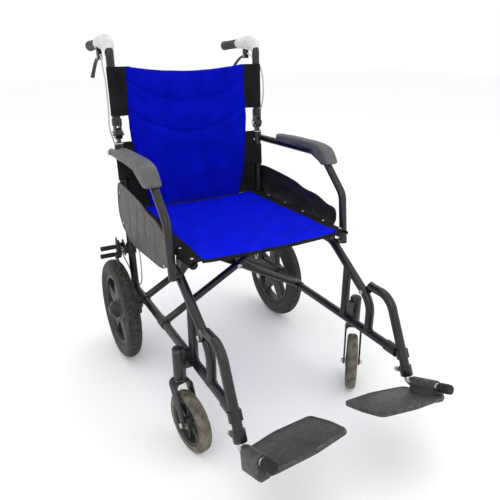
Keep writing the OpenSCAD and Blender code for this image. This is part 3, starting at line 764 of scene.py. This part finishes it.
def seat_binding(name, y, half):
    """Black binding along the seat's front or rear edge."""
    path = [
        (s * half, y - 3 * (1 - s * s), SEAT_MIDDLE_Z - SEAT_SAG * (1 - s * s) ** 0.8 * 0.45)
        for s in np.linspace(-1, 1, 61)
    ]
    obj = skin(name, tube(path, 4.3, 14, hint=(0, 1, 0)), STRIP_BLACK)
    crumple(obj, 0.5, 60, 2)
    return obj


def seat_strip(side, sign, body):
    """Black cloth over the seat rail, screwed down along its top."""
    rings = []
    for y in np.linspace(SEAT_FRONT - 1, SEAT_REAR + 1, 110):
        inner = seat_half_width(y) - 7
        wobble = 0.9 * noise.noise(Vector((sign * 3.1, y / 34, 0.4)))
        top = smooth_path([
            (inner, 453.4), (inner + 6, 454.0), (SEAT_RAIL_X - 8, 453.5 + 0.5 * wobble),
            (SEAT_RAIL_X, 453.2), (SEAT_RAIL_X + 6, 452.0), (SEAT_RAIL_X + 10.6, 448.4 + 0.3 * wobble),
            (SEAT_RAIL_X + 12.6 + 0.5 * wobble, 443.4), (SEAT_RAIL_X + 12.8 + 0.6 * wobble, 440.6),
        ], 3)
        d = np.gradient(top, axis=0)
        d /= np.linalg.norm(d, axis=1)[:, None]
        under = top - np.stack([-d[:, 1], d[:, 0]], 1) * 1.3
        loop = [(sign * x, y, z) for x, z in top] + [(sign * x, y, z) for x, z in under[::-1]]
        rings.append(loop)
    obj = skin("seat_strip_" + side, rings, STRIP_BLACK, body)
    for i, y in enumerate((-418, -347, -253, -159, -65)):
        centre = (sign * SEAT_RAIL_X, y, 452.9)
        turned(f"seat_screw_{side}_{i}", [
            (0, 0), (0, 4.6), (0.8, 4.6), (0.9, 4.2), (1.0, 3.6), (1.6, 3.4), (2.1, 2.6), (2.3, 1.3),
            (1.9, 1.1), (1.8, 0),
        ], centre, (0, 0, 1), ZINC, body, 24)
    turned("seat_rail_cap_" + side, [
        (8, 0), (8, 8), (0.3, 8), (0.3, 10.4), (-0.8, 10.2), (-1.6, 8.4), (-2.0, 5), (-2.2, 0),
    ], (sign * SEAT_RAIL_X, -426, SEAT_RAIL_Z), (0, 1, 0), RUBBER_BLACK, body, 32)


def teardrop(inner, centre, radius, sheet=1.6, steps=18):
    """A section of cloth that runs from a flat edge out to a tube and round it: points [x, n]."""
    gap = centre - inner
    a0 = math.acos(min(1, (radius - sheet) / gap))
    loop = [(inner, sheet)]
    for k in range(1, 7):
        t = k / 7
        x0, n0 = centre - radius * math.cos(a0), radius * math.sin(a0)
        loop.append((inner + (x0 - inner) * t, sheet + (n0 - sheet) * t * t))
    for k in range(steps + 1):
        a = a0 + (2 * math.pi - 2 * a0) * k / steps
        loop.append((centre - radius * math.cos(a), radius * math.sin(a)))
    for k in range(6, 0, -1):
        t = k / 7
        x0, n0 = centre - radius * math.cos(a0), radius * math.sin(a0)
        loop.append((inner + (x0 - inner) * t, -(sheet + (n0 - sheet) * t * t)))
    loop.append((inner, -sheet))
    return loop


def cane_sleeve(side, sign):
    """The black sleeve that carries the upper back on its cane."""
    rings = []
    low, high = 46.5, 173
    for v in np.linspace(low, high, 60):
        swell = 0.5 * noise.noise(Vector((v / 23, sign, 0)))
        end = min(1, (v - low) / 3, (high - v) / 3)
        radius = 12.9 + swell + 0.5 * ease(1 - (v - low) / 14)
        ring = []
        for x, n in teardrop(170, HALF, radius + 0.3 * end):
            crease = sum(
                depth * math.exp(-((v - height - (x - 190) * lean) / 4) ** 2)
                for height, lean, depth in ((95, 0.75, 1.3), (132, 0.3, 0.9), (66, -0.4, 0.9))
            )
            ripple = 0.7 * noise.noise(Vector((x / 16, v / 19, sign * 5.0 + (n > 0))))
            grow = 1 + (ripple - crease) / max(6, abs(n) + 6)
            ring.append(panel_point(sign * x, v, n * grow, CANE_LEAN))
        rings.append(ring)
    skin("cane_sleeve_" + side, rings, SLEEVE_BLACK, side + "_cane")


def post_flap(side, sign):
    """The black flap that ties the lower back to the rear post."""
    rings = []
    low, high = -214, -24
    for v in np.linspace(low, high, 64):
        inner = edge_x(v, sign) - 7
        outer = HALF - 11.4
        ring = []
        for t in np.linspace(0, 1, 12):
            x = inner + (outer - inner) * t
            dip = 3.2 * math.sin(math.pi * t) * (1 + 0.5 * noise.noise(Vector((v / 30, sign, 2))))
            ring.append((x, 1.6 - dip + 0.9 * noise.noise(Vector((x / 14, v / 26, sign)))))
        back = [(x, n - 2.2) for x, n in ring[::-1]]
        rings.append([panel_point(sign * x, v, n, POST_LEAN) for x, n in ring + back])
    skin("post_flap_" + side, rings, SLEEVE_BLACK, side + "_frame")
    wrap = []
    for v in np.linspace(-128, -66, 30):
        radius = 12.5 + 0.35 * noise.noise(Vector((v / 15, sign * 2, 1)))
        section = teardrop(196, HALF, radius, 1.2)
        wrap.append([panel_point(sign * x, v, n, POST_LEAN) for x, n in section])
    skin("post_wrap_" + side, wrap, SLEEVE_BLACK, side + "_frame")


# ---------------------------------------------------------------- handles

CANE_BEND = 38.0
HANDLE_SLOPE = math.radians(4)
HANDLE_END = (256, 884)
ELBOW = (50, HANDLE_END[1] + (HANDLE_END[0] - 50) * math.tan(HANDLE_SLOPE))
CANE_LEAN = math.atan2(ELBOW[0] - HINGE_Y, ELBOW[1] - HINGE_Z)


def handle_path(start_angle, rear, steps=26):
    """Points [y, z] from part way round the elbow to rear along the handle."""
    turn = math.pi / 2 + HANDLE_SLOPE - CANE_LEAN
    back = CANE_BEND * math.tan(turn / 2)
    up = np.array([math.sin(CANE_LEAN), math.cos(CANE_LEAN)])
    out = np.array([math.cos(HANDLE_SLOPE), -math.sin(HANDLE_SLOPE)])
    corner = np.array(ELBOW)
    first = corner - up * back
    centre = first + CANE_BEND * np.array([up[1], -up[0]])
    points = []
    for a in np.linspace(start_angle, turn, steps):
        r = first - centre
        c, s = math.cos(-a), math.sin(-a)
        points.append(centre + np.array([c * r[0] - s * r[1], s * r[0] + c * r[1]]))
    last = points[-1]
    span = (rear - last[0]) / out[0]
    points += [last + out * span * t for t in np.linspace(0, 1, steps)[1:]]
    return np.array(points)


def handle_wrap(side, sign):
    """A crinkled white sleeve from the elbow to the grip, loose at its lower end."""
    line = handle_path(math.radians(24), 155)
    path = np.array([(sign * HALF, y, z) for y, z in line])
    frames = frames_along(path)
    rings, sides = [], 40
    for i, (p, (t, u, v)) in enumerate(zip(path, frames)):
        s = i / (len(path) - 1)
        ring = []
        for a in turn_angles(sides):
            out = math.cos(a) * u + math.sin(a) * v
            swell = 12.2 + 5.6 * ease(s / 0.22) - 2.2 * ease((s - 0.62) / 0.38)
            wrinkle = noise.noise(Vector(tuple(p / 13 + out * 1.2 + np.array([sign * 4, 0, 0]))))
            fine = noise.noise(Vector(tuple(p / 5 + out * 2.4)))
            tail = -18 * ease(1 - s / 0.2) * max(0, 0.5 - 0.5 * out[2] + 0.5 * out[1])
            ring.append(p + out * (swell + 1.5 * wrinkle + 0.6 * fine) + t * tail)
        rings.append(ring)
    bore = [
        [path[end] + 11.4 * (math.cos(a) * frames[end][1] + math.sin(a) * frames[end][2])
         for a in turn_angles(sides)]
        for end in (-1, 0)
    ]
    obj = skin("handle_wrap_soft_" + side, rings + bore, FOAM, side + "_cane", closed=True)
    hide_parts("handle_wrap_" + side)


def grip(side, sign):
    """A ribbed rubber grip with a domed end."""
    out = np.array([0, math.cos(HANDLE_SLOPE), -math.sin(HANDLE_SLOPE)])
    rear = np.array([sign * HALF, HANDLE_END[0], HANDLE_END[1]])
    profile = [(-98, 11.05), (-98, 13.6), (-96.5, 14.4), (-92, 14.4), (-90.5, 13.3)]
    for i in range(17):
        h = -89 + 4.8 * i
        profile += [(h, 12.3), (h + 0.8, 12.2), (h + 1.5, 13.2), (h + 3.6, 13.25), (h + 4.4, 12.4)]
    profile += [
        (-5.5, 13.4), (-4, 14.2), (0.5, 14.2), (3.2, 13.0), (4.6, 10.4), (5.0, 6.0), (4.4, 5.2),
        (4.2, 0), (0.4, 0), (0.4, 11.05),
    ]
    obj = turned("grip_soft_" + side, profile, rear, out, GRIP, side + "_cane", 48)
    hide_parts("grip_" + side)


def brake_lever(side, sign):
    """A flat hand lever with a rounded end."""
    line = smooth_path([
        (128, 856), (140, 855), (153, 851), (166, 846), (185, 835.5), (204, 822), (222, 808), (236, 797),
    ], 6)
    x = sign * (HALF + 8)
    body = side + "_brake_lever"
    path = [(x, y, z) for y, z in line]
    s = np.linspace(0, 1, len(path))
    radius = 5.3 + 1.6 * np.exp(-((s - 0.02) / 0.08) ** 2) + 1.4 * ease((s - 0.8) / 0.2)
    radius[-1] = 2.4
    radius[-2] = 4.8
    radius[0] = 3.2
    rings = tube(path, radius, 18, hint=(1, 0, 0), flat=0.62)
    obj = skin("brake_lever_soft_" + side, rings, BLACK_FITTINGS, body)
    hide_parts("brake_lever_" + side)
    turned("lever_pin_" + side, [
        (-8, 0), (-8, 3.6), (-6.6, 4.0), (-5.8, 2.4), (5.8, 2.4), (6.6, 4.0), (8, 3.6), (8, 0),
    ], (x, 128, 856), (1, 0, 0), ZINC, body, 24)
    turned("cable_barrel_" + side, [
        (-2, 0), (-2, 3.4), (6, 3.4), (6.4, 2.8), (9, 2.8), (9.5, 2.2), (11, 2.1), (11, 0),
    ], (x, 117.5, 863.4), (0.05, -0.94, -0.33), ZINC, side + "_cane", 24)


CABLE_RADIUS = 2.0


def cable_route(bow):
    """The cable's line, in mm. bow is how far it stands further out between the handle and the hinge."""
    return [
        [228, 119, 864], [230, 102, 858], [234, 82, 848], [238 + 0.4 * bow, 63, 831],
        [238 + 0.8 * bow, 51, 806], [238 + bow, 46, 775], [238 + bow, 45, 745],
        [238 + 0.7 * bow, 48, 716], [238 + 0.3 * bow, 56, 688], [234, 62, 660], [226, 64, 632],
        [220, 60, 600], [219, 54, 550], [218, 48, 495], [216, 44, 440], [211, 37, 402], [204, 18, 368],
        [203, -4, 330], [202, -10, 290], [202, -9, 250], [202, 0, 222], [205, 14, 209], [211, 29, 218],
        [219, 38, 242], [228, 40, 270], [238, 38, 298], [246, 36, 320],
    ]


def brake_cable(side, sign):
    """The cable from the hand lever to the drum brake."""
    path = smooth_path([(sign * x, y, z) for x, y, z in cable_route(8 if sign > 0 else 0)], 8)
    obj = skin("brake_cable_soft_" + side, tube(path, CABLE_RADIUS, 12), CABLE)
    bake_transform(obj)
    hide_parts("brake_cable_" + side)
    metres(path)[0]
    metres(path)


# ---------------------------------------------------------------- armrests and guards

def inset(outline, distance):
    """A closed outline moved inwards."""
    p = np.array(outline, float)
    d = np.roll(p, -1, 0) - np.roll(p, 1, 0)
    d /= np.linalg.norm(d, axis=1)[:, None]
    area = 0.5 * np.sum(p[:, 0] * np.roll(p[:, 1], -1) - np.roll(p[:, 0], -1) * p[:, 1])
    normal = np.stack([-d[:, 1], d[:, 0]], 1) * (1 if area > 0 else -1)
    return p + normal * distance


def arm_pad(side, sign):
    """A moulded foam pad: a side profile whose edges round over, with a raised ridge along its top."""
    outline = np.vstack([
        rounded_outline([(-70, 617), (-62, 622), (-62, 636), (-67, 641)], 2.4, 3)[:16],
        smooth_path([
            (-110, 642), (-200, 643.5), (-250, 643), (-284, 637.5), (-300, 627), (-311, 614), (-320, 601),
        ], 6),
        smooth_path([
            (-320, 596), (-312, 592), (-292, 589), (-284, 594), (-256, 617), (-240, 621), (-90, 617.5),
        ], 6),
    ])
    inner, outer = HALF + 5.5, HALF + 45.5
    corner, top_z, steps = 8.5, 628, 26
    rings = []
    for i in range(steps + 1):
        t = i / steps
        x = inner + (outer - inner) * t
        edge = min(x - inner, outer - x)
        drop = corner * (1 - math.sqrt(max(0, 1 - (1 - min(edge / corner, 1)) ** 2)))
        ring = []
        for y, z in inset(outline, 0.15 + drop * 0.8):
            crown = 0
            if z > top_z:
                crown = -2.4 * ease((x - (inner + 15)) / 24) * ease((z - top_z) / 10)
                crown += 0.7 * math.exp(-((x - inner - 14) / 3.2) ** 2) * ease((z - top_z) / 10)
            ring.append((sign * x, y, z + crown))
        rings.append(ring)
    obj = skin("arm_pad_soft_" + side, rings, PAD_VINYL)
    subdivide(obj)
    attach(obj, side + "_frame")
    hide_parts("arm_pad_" + side)


GUARD_OUTLINE = [
    (23, 393), (48, 420), (57, 455), (44, 512), (20, 528), (-80, 525), (-160, 518), (-213, 507),
    (-273, 503), (-320, 490), (-356, 484), (-362, 452), (-330, 408), (-295, 389), (-197, 379), (-67, 371),
]


def side_guard(side, sign):
    """A moulded panel with a thick lip, upright grooves outside and an arched rib inside."""
    loop = smooth_path(GUARD_OUTLINE + GUARD_OUTLINE[:1], 12)[:-1]
    front, rear = loop[:, 0].min() + 0.2, loop[:, 0].max() - 0.2

    def crossings(y):
        """The outline's lowest and highest point at y."""
        hits = []
        for a, b in zip(loop, np.roll(loop, -1, 0)):
            if (a[0] - y) * (b[0] - y) <= 0 and a[0] != b[0]:
                hits.append(a[1] + (b[1] - a[1]) * (y - a[0]) / (b[0] - a[0]))
        return min(hits), max(hits)

    columns, rows = 190, 66
    face = HALF + 11
    rings = []
    for i in range(columns + 1):
        y = (front + rear) / 2 - (rear - front) / 2 * math.cos(math.pi * i / columns)
        low, high = crossings(y)
        outer_line, inner_line = [], []
        for j in range(rows + 1):
            z = low + (high - low) * (0.5 - 0.5 * math.cos(math.pi * j / rows))
            edge = min(z - low, high - z, y - front, rear - y)
            lip = 1.9 * ease((9 - edge) / 4)
            round_off = 1.5 * (1 - math.sqrt(max(0, 1 - (1 - min(edge / 1.8, 1)) ** 2)))
            groove = 0
            if edge > 10:
                inside = ease((edge - 10) / 10)
                for k, centre in enumerate((-275, -200, -125, -50)):
                    bend = centre + 10 * math.sin((z - 380) / 150 * 2.6 + k)
                    groove -= 1.3 * math.exp(-((y - bend) / 5.5) ** 2) * inside
                groove += 0.9 * inside * math.sin((y + 60) / 75 * math.pi) ** 2
            arch = 0
            if y < -20:
                from_arch = math.hypot((y + 120) / 1.9, z - 372) - 118
                arch = 1.2 * math.exp(-(from_arch / 3.2) ** 2) * ease((edge - 6) / 8)
            outer_line.append((sign * (face + 3.0 + lip * 0.7 + groove - round_off), y, z))
            inner_line.append((sign * (face + 0.2 - arch + round_off), y, z))
        rings.append(outer_line + inner_line[::-1])
    # The left guard takes the darker copy of the guard plastic: painted shade on the far side.
    plastic = GUARD_GREY if side == "right" else GUARD_PAINTED_SHADE
    obj = skin("side_guard_soft_" + side, rings, plastic, side + "_frame")
    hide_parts("side_guard_" + side)
    sharpen(obj, 50)


# ---------------------------------------------------------------- wheels

WHEEL_X = 272
WHEEL_R = AXLE.z / MM


def rear_tyre(side, sign):
    """A treaded tyre: ribs with notches on the crown, ridges and a bead line on the walls."""
    centre = (sign * WHEEL_X, 0, WHEEL_R)
    radius, section = WHEEL_R, 23.0
    tread_r = radius - section + 15.5
    steps, segments, blocks = 60, 300, 50
    body = side + "_rear_wheel"
    profile = []
    a0 = math.radians(40)
    for k in range(steps + 1):
        a = a0 + (2 * math.pi - 2 * a0) * k / steps
        profile.append((section * math.sin(a), radius - section - section * math.cos(a)))
    profile += [(h, 107.6) for h in (-13.4, 0, 13.4)]

    def tread(j, a, h, r):
        """How far a point of the section stands out (+) or in (-) at an angle round the wheel."""
        if j > steps:
            return 0
        crown = ease((r - tread_r) / 4)
        turn = blocks * a / (2 * math.pi)
        groove = sum(math.exp(-((h - g) / 0.9) ** 2) for g in (-9.5, -3.2, 3.2, 9.5))
        notch = math.exp(-((abs(h) - 13.5) / 2.6) ** 2) * math.exp(-((turn % 1 - 0.5) / 0.13) ** 2)
        for g, offset in ((-6.3, 0), (0, 0.5), (6.3, 0)):
            phase = (turn + offset) % 1
            notch += math.exp(-((h - g) / 2.2) ** 2) * math.exp(-((phase - 0.5) / 0.11) ** 2)
        wall = 0.7 * math.exp(-((r - 114.5) / 1.1) ** 2) + 0.5 * math.exp(-((r - 121) / 0.8) ** 2)
        return -crown * (1.8 * min(1, groove) + 1.6 * min(1, notch)) + (0.5 * wall if abs(h) > 8 else 0)

    rings = lathe(profile, centre, (1, 0, 0), segments, tread)
    obj = skin("rear_tyre_soft_" + side, rings, TYRE, body, closed=True)
    obj.data.materials.append(TREAD)
    for face in obj.data.polygons:
        out = math.hypot(face.center.y - AXLE_Y, face.center.z - AXLE.z) / MM
        face.material_index = int(out > tread_r)
    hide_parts("rear_tyre_" + side)
    bead = ((18.7, 114.0), (19.4, 115.6), (19.9, 117.4), (19.2, 117.2), (18.4, 115.6), (17.9, 114.2))
    for face in (-1, 1):
        rings = lathe([(face * h, r) for h, r in bead], centre, (1, 0, 0), 120)
        name = f"bead_line_{side}_{'in' if face * sign < 0 else 'out'}"
        skin(name, rings, BEAD, body, closed=True)


def hub_cap(side, sign):
    """The black dust cap over the axle's outer nut."""
    turned("hub_cap_" + side, [
        (0, 0), (0, 21), (3, 21), (4.5, 19.5), (5.2, 15.5), (9, 14.6), (10.6, 13), (11.4, 9), (11.6, 0),
    ], (sign * (WHEEL_X + 24), 0, WHEEL_R), (sign, 0, 0), RIM, side + "_rear_wheel", 48)


CASTER_R = 75.0


def stem_place(side):
    """The swivel axis of a caster, from the rear axle's floor point, in mm."""
    x, y, _ = JOINTS[side + "_caster_swivel"]["pos_m"]
    return x / MM, (y - AXLE_Y) / MM


def caster_tyre(side):
    """A solid caster tyre with a parting line and a step on each wall."""
    spin = JOINTS[side + "_caster_spin"]
    axis = np.array(spin["axis"], float)
    c = np.array(spin["pos_m"], float) / MM
    centre = (c[0], c[1] - AXLE_Y / MM, c[2])
    radius, corner, half = CASTER_R, 7.5, 5.5
    wall = [(12.2, 57.1), (12.9, 58.2), (13, 60), (13, 64), (12.5, 64.6), (12.5, 65.2), (13, 65.8)]
    shoulder = [
        (half + corner * math.cos(a), radius - corner + corner * math.sin(a))
        for a in np.linspace(0, math.pi / 2, 9)
    ]
    crown = wall + shoulder + [(3, radius), (0.7, radius - 0.1), (0.3, radius - 0.5)]
    rings = lathe(crown + [(-h, r) for h, r in crown[::-1]], centre, axis, 140)
    body = side + "_caster_wheel"
    obj = skin("caster_tyre_soft_" + side, rings, CASTER_TYRE, body, closed=True)
    sharpen(obj, 40)
    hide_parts("caster_tyre_" + side)


FORK_GAP = 18.5
FORK_LEG = 4.0
WHEEL_TRAIL = 38.0
AXLE_BOSS_R = 10.0


def fork_arch(side):
    """A pressed steel fork: a strip that arches over the wheel, broad above and tapering to the axle."""
    across = np.array(JOINTS[side + "_caster_spin"]["axis"], float)
    ahead = np.array([across[1], -across[0], 0.0])
    x0, y0 = stem_place(side)
    axle_z, crown_z, bend, outer = CASTER_R, 172.0, 13.0, FORK_GAP + FORK_LEG
    cut = 0.9
    body = side + "_caster_fork"

    def edges(z):
        """The strip's front and rear edges at a height, measured forwards from the stem."""
        front = np.interp(z, (axle_z, 120, 152, crown_z), (WHEEL_TRAIL + AXLE_BOSS_R, 35, 23, 17))
        rear = np.interp(z, (axle_z, 110, 158, crown_z), (WHEEL_TRAIL - AXLE_BOSS_R, 11, -15, -17))
        if z < axle_z:
            half = math.sqrt(max(AXLE_BOSS_R ** 2 - (axle_z - z) ** 2, 1.0))
            front, rear = WHEEL_TRAIL + half, WHEEL_TRAIL - half
        return front, rear

    # The strip's outer face from one leg's foot to the middle: x, z and the face's normal
    below = np.linspace(axle_z - 9.9, axle_z, 9)[:-1]
    above = np.linspace(axle_z, crown_z - bend, 22)
    line = [(-outer, z, -1.0, 0.0) for z in np.concatenate([below, above])]
    for a in np.linspace(0, math.pi / 2, 12)[1:]:
        c, sn = math.cos(a), math.sin(a)
        line.append((-outer + bend - bend * c, crown_z - bend + bend * sn, -c, sn))
    line.append((-5.0, crown_z, 0.0, 1.0))
    rings = []
    for x, z, nx, nz in line + [(-x, z, -nx, nz) for x, z, nx, nz in line[::-1]]:
        front, rear = edges(min(z, crown_z - 0.01))
        section = [(front, cut), (front - cut, 0.0)]
        section += [(front + (rear - front) * t, -0.5 * math.sin(math.pi * t)) for t in (0.25, 0.5, 0.75)]
        section += [(rear + cut, 0.0), (rear, cut), (rear, FORK_LEG - cut), (rear + cut, FORK_LEG)]
        section += [(front - cut, FORK_LEG), (front, FORK_LEG - cut)]
        ring = []
        for f, depth in section:
            out = x - nx * depth
            ring.append((
                x0 + across[0] * out + ahead[0] * f, y0 + across[1] * out + ahead[1] * f, z - nz * depth,
            ))
        rings.append(ring)
    obj = skin("fork_soft_" + side, rings, BLACK_FITTINGS, body)
    sharpen(obj, 50)
    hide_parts("fork_" + side)
    turned("fork_stem_" + side, [
        (170, 0), (170, 13.2), (175.2, 13.2), (176, 12.4), (176, 8), (238, 8), (240, 6.5), (240, 0),
    ], (x0, y0, 0), (0, 0, 1), BLACK_FITTINGS, body, 40)
    turned("fork_washer_" + side, [(172.3, 0), (172.3, 14.2), (173.8, 14.2), (173.8, 0)],
           (x0, y0, 0), (0, 0, 1), ZINC, body, 40)


def stem_cap(side):
    """The domed cap on the swivel housing."""
    turned("stem_cap_" + side, [
        (250, 0), (250, 15.3), (252.5, 15.3), (254.6, 13.6), (256.4, 9.6), (257.4, 4.6), (257.6, 0),
    ], (*stem_place(side), 0), (0, 0, 1), BLACK_FITTINGS, side + "_frame", 40)


# ---------------------------------------------------------------- small parts

def weld(name, centre, along, across, radius, body):
    """A lumpy weld bead where a tube meets another of the same size. along is the joining tube's
    direction, away from the joint; across is square to both tubes."""
    d = np.array(along, float) / np.linalg.norm(along)
    e = np.array(across, float) / np.linalg.norm(across)
    o = np.cross(d, e)
    path = []
    for a in turn_angles(72):
        lift = radius * abs(math.sin(a)) * 0.98
        path.append(np.array(centre) + radius * (math.cos(a) * e + math.sin(a) * o) + d * lift)
    rings = []
    for i, p in enumerate(path):
        t = path[(i + 1) % len(path)] - path[i - 1]
        t /= np.linalg.norm(t)
        u = p - np.array(centre)
        u -= np.dot(u, t) * t
        u /= np.linalg.norm(u)
        w = np.cross(t, u)
        r = 1.9 + 0.35 * math.sin(i * math.pi / 2.25) + 0.25 * noise.noise(Vector(tuple(p / 3)))
        rings.append([p + r * (math.cos(b) * u + math.sin(b) * w) for b in turn_angles(8)])
    skin(name, rings, BLACK_PAINT, body, closed=True)


TUBE_R = 11.2
RAIL_Z = 207


def frame_welds(side, sign):
    """Weld beads where the side frame's tubes meet."""
    def post_y(z):
        return (z - WHEEL_R) * math.tan(POST_LEAN)

    for name, y, z, along in (
        ("seat_tube", post_y(404), 404, (0, -1, 0)), ("rail", post_y(RAIL_Z), RAIL_Z, (0, -1, 0)),
        ("front", -538, RAIL_Z, (0, 0, 1)), ("upright", -441, RAIL_Z, (0, 0, 1)),
    ):
        centre = (sign * HALF, y, z)
        weld(f"weld_{name}_{side}", centre, along, (1, 0, 0), TUBE_R, side + "_frame")


def spring_coil(side, sign):
    """The return spring around the parking brake's pivot."""
    coils, steps, width, radius = 6, 20, 6.8, 8.1
    path = []
    for k in range(coils * steps + 1):
        a = 2 * math.pi * k / steps
        x = HALF + 24.6 + width * k / (coils * steps)
        path.append((sign * x, 16 + radius * math.cos(a), 330 + radius * math.sin(a)))
    wire = tube(path, 0.85, 8, hint=(1, 0.01, 0))
    skin("return_spring_" + side, wire, ZINC, side + "_frame")


def pedal_sleeves(side, sign):
    """Ribbed rubber sleeves on the parking brake's pedals."""
    for i, (y, z) in enumerate(((12, 344), (24, 316))):
        profile = [(0, 0), (0, 6.4), (1, 6.9)]
        for k in range(9):
            h = 2 + 3.7 * k
            profile += [(h, 6.9), (h + 0.5, 6.4), (h + 1.1, 6.4), (h + 1.6, 6.9)]
        profile += [(37.6, 6.9), (39, 6.2), (39.4, 4), (39.4, 0)]
        turned(f"pedal_sleeve_{side}_{i}", profile, (sign * (HALF + 50), y, z), (sign, 0, 0),
               RUBBER_BLACK, side + "_park_lever", 28)


def wire_eye(side, sign):
    """A small wire eye on the inner side of the rear post."""
    x = sign * (HALF - 13)
    path = [(x, 10 + 6 * math.cos(a), 372 + 6 * math.sin(a)) for a in turn_angles(32)]
    rings = tube(path + path[:1], 1.3, 8)[:-1]
    skin("wire_eye_" + side, rings, ZINC, side + "_frame", closed=True)


ROD_ORIGIN = (HALF + 4, -683.1, 147.7)
ROD_SLOPE = math.radians(24.2)
PLATE_CANT = math.radians(6.5)


def footplate_rim(side, sign):
    """A raised border round each footplate's upper face."""
    outline = rounded_outline(
        [(4, 22), (-87, 36), (-177, 21), (-184, -50), (-180, -112), (-95, -119), (4, -106)], 15, 6
    )
    turn = Matrix.Translation(Vector((HALF + 4, -683, 147.7)))
    turn = turn @ Matrix.Rotation(-ROD_SLOPE, 4, "X") @ Matrix.Rotation(PLATE_CANT, 4, "Y")

    def place(x, y, z):
        p = turn @ Vector((x, y, z))
        return (sign * p.x, p.y, p.z)

    border = [place(x, y, -16.2) for x, y in inset(outline, 3.4)]
    border = smooth_path(border + border[:1], 3)[:-1]
    up = np.array(place(0, 0, 1)) - np.array(place(0, 0, 0))
    rings = []
    for i, p in enumerate(border):
        t = border[(i + 1) % len(border)] - border[i - 1]
        t /= np.linalg.norm(t)
        w = np.cross(t, up)
        w /= np.linalg.norm(w)
        rings.append([p + 2.4 * math.cos(b) * w + 1.3 * math.sin(b) * up for b in turn_angles(10)])
    name = "footplate_rim_" + side
    skin(name, rings, PLATE, side + "_footplate", closed=True)


def rod_point(sign, along, up=0.0, out=0.0):
    """A point near the footplate's hinge rod: along it to the front, square to it, and sideways."""
    x, y, z = ROD_ORIGIN
    return (
        sign * (x + out),
        y - along * math.cos(ROD_SLOPE) + up * math.sin(ROD_SLOPE),
        z + along * math.sin(ROD_SLOPE) + up * math.cos(ROD_SLOPE),
    )


def blacken_cap(stem, sign):
    """Black rubber for the cap on the rod's end, drawn in so that its ribs stand out of it."""
    stem.data.materials.append(RUBBER_BLACK)
    root, tip = at(*rod_point(sign, 0)), at(*rod_point(sign, 100))
    along = (tip - root).normalized()
    cap_start, cap_wall, cap_r = 95.8 * MM, 11 * MM, 10.4 * MM
    for vert in stem.data.vertices:
        reach = (vert.co - root).dot(along)
        centre = root + along * reach
        if reach > cap_start and (vert.co - centre).length > cap_wall:
            vert.co = centre + (vert.co - centre).normalized() * cap_r
    for face in stem.data.polygons:
        face.material_index = int((face.center - root).dot(along) > cap_start)


def cap_ribs(side, sign):
    """Raised ribs round the rod's rubber cap."""
    section = [(-1.5, 10.0), (-1.5, 10.6), (-0.9, 11.1), (0.9, 11.1), (1.5, 10.6), (1.5, 10.0)]
    along = np.subtract(rod_point(sign, 1), rod_point(sign, 0))
    body = side + "_foot_stem"
    for i in range(4):
        rings = lathe(section, rod_point(sign, 101 + 6.2 * i), along, 40)
        skin(f"cap_rib_{side}_{i}", rings, RUBBER_BLACK, body, closed=True)


# ---------------------------------------------------------------- the chair

set_stage()

UPPER = back_panel("back_panel_upper", CANE_LEAN, True, lambda s: top_edge(s * BLUE_X), "right_cane")
LOWER = back_panel("back_panel_lower", POST_LEAN, False, lambda s: LOWER_REACH, "right_frame")
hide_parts("back_upper_right", "back_upper_left")
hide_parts("back_lower_right", "back_lower_left")
fold_squash(UPPER)
fold_squash(LOWER)

SEAT = seat_panel()
BINDINGS = [
    seat_binding("seat_front_binding", SEAT_FRONT - 1, seat_half_width(SEAT_FRONT) - 2),
    seat_binding("seat_rear_binding", SEAT_REAR + 2, seat_half_width(SEAT_REAR) - 2),
]
for cover in [SEAT] + BINDINGS:
    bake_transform(cover)
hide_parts("seat_half_right", "seat_half_left")

for side, sign in SIDES:
    seat_strip(side, sign, "brace_b" if side == "right" else "brace_a")
    cane_sleeve(side, sign)
    post_flap(side, sign)
    handle_wrap(side, sign)
    grip(side, sign)
    brake_lever(side, sign)
    brake_cable(side, sign)
    arm_pad(side, sign)
    side_guard(side, sign)
    rear_tyre(side, sign)
    hub_cap(side, sign)
    caster_tyre(side)
    fork_arch(side)
    stem_cap(side)
    frame_welds(side, sign)
    spring_coil(side, sign)
    pedal_sleeves(side, sign)
    wire_eye(side, sign)
    footplate_rim(side, sign)
    cap_ribs(side, sign)
    for node, width in (
        ("brake_bracket", 0.6), ("park_lever", 0.6), ("lever_clamp", 0.8), ("caster_rim", 0.7),
        ("rear_rim", 0.9), ("footplate", 2.4), ("foot_stem", 0.8), ("hanger", 0.8), ("caster_axle", 0.5),
        ("hardware", 0.5), ("caster_post", 1.0),
    ):
        soft = softened(f"{node}_{side}", width)
        if node == "foot_stem":
            blacken_cap(soft, sign)
softened("brace_bolts", 0.5)
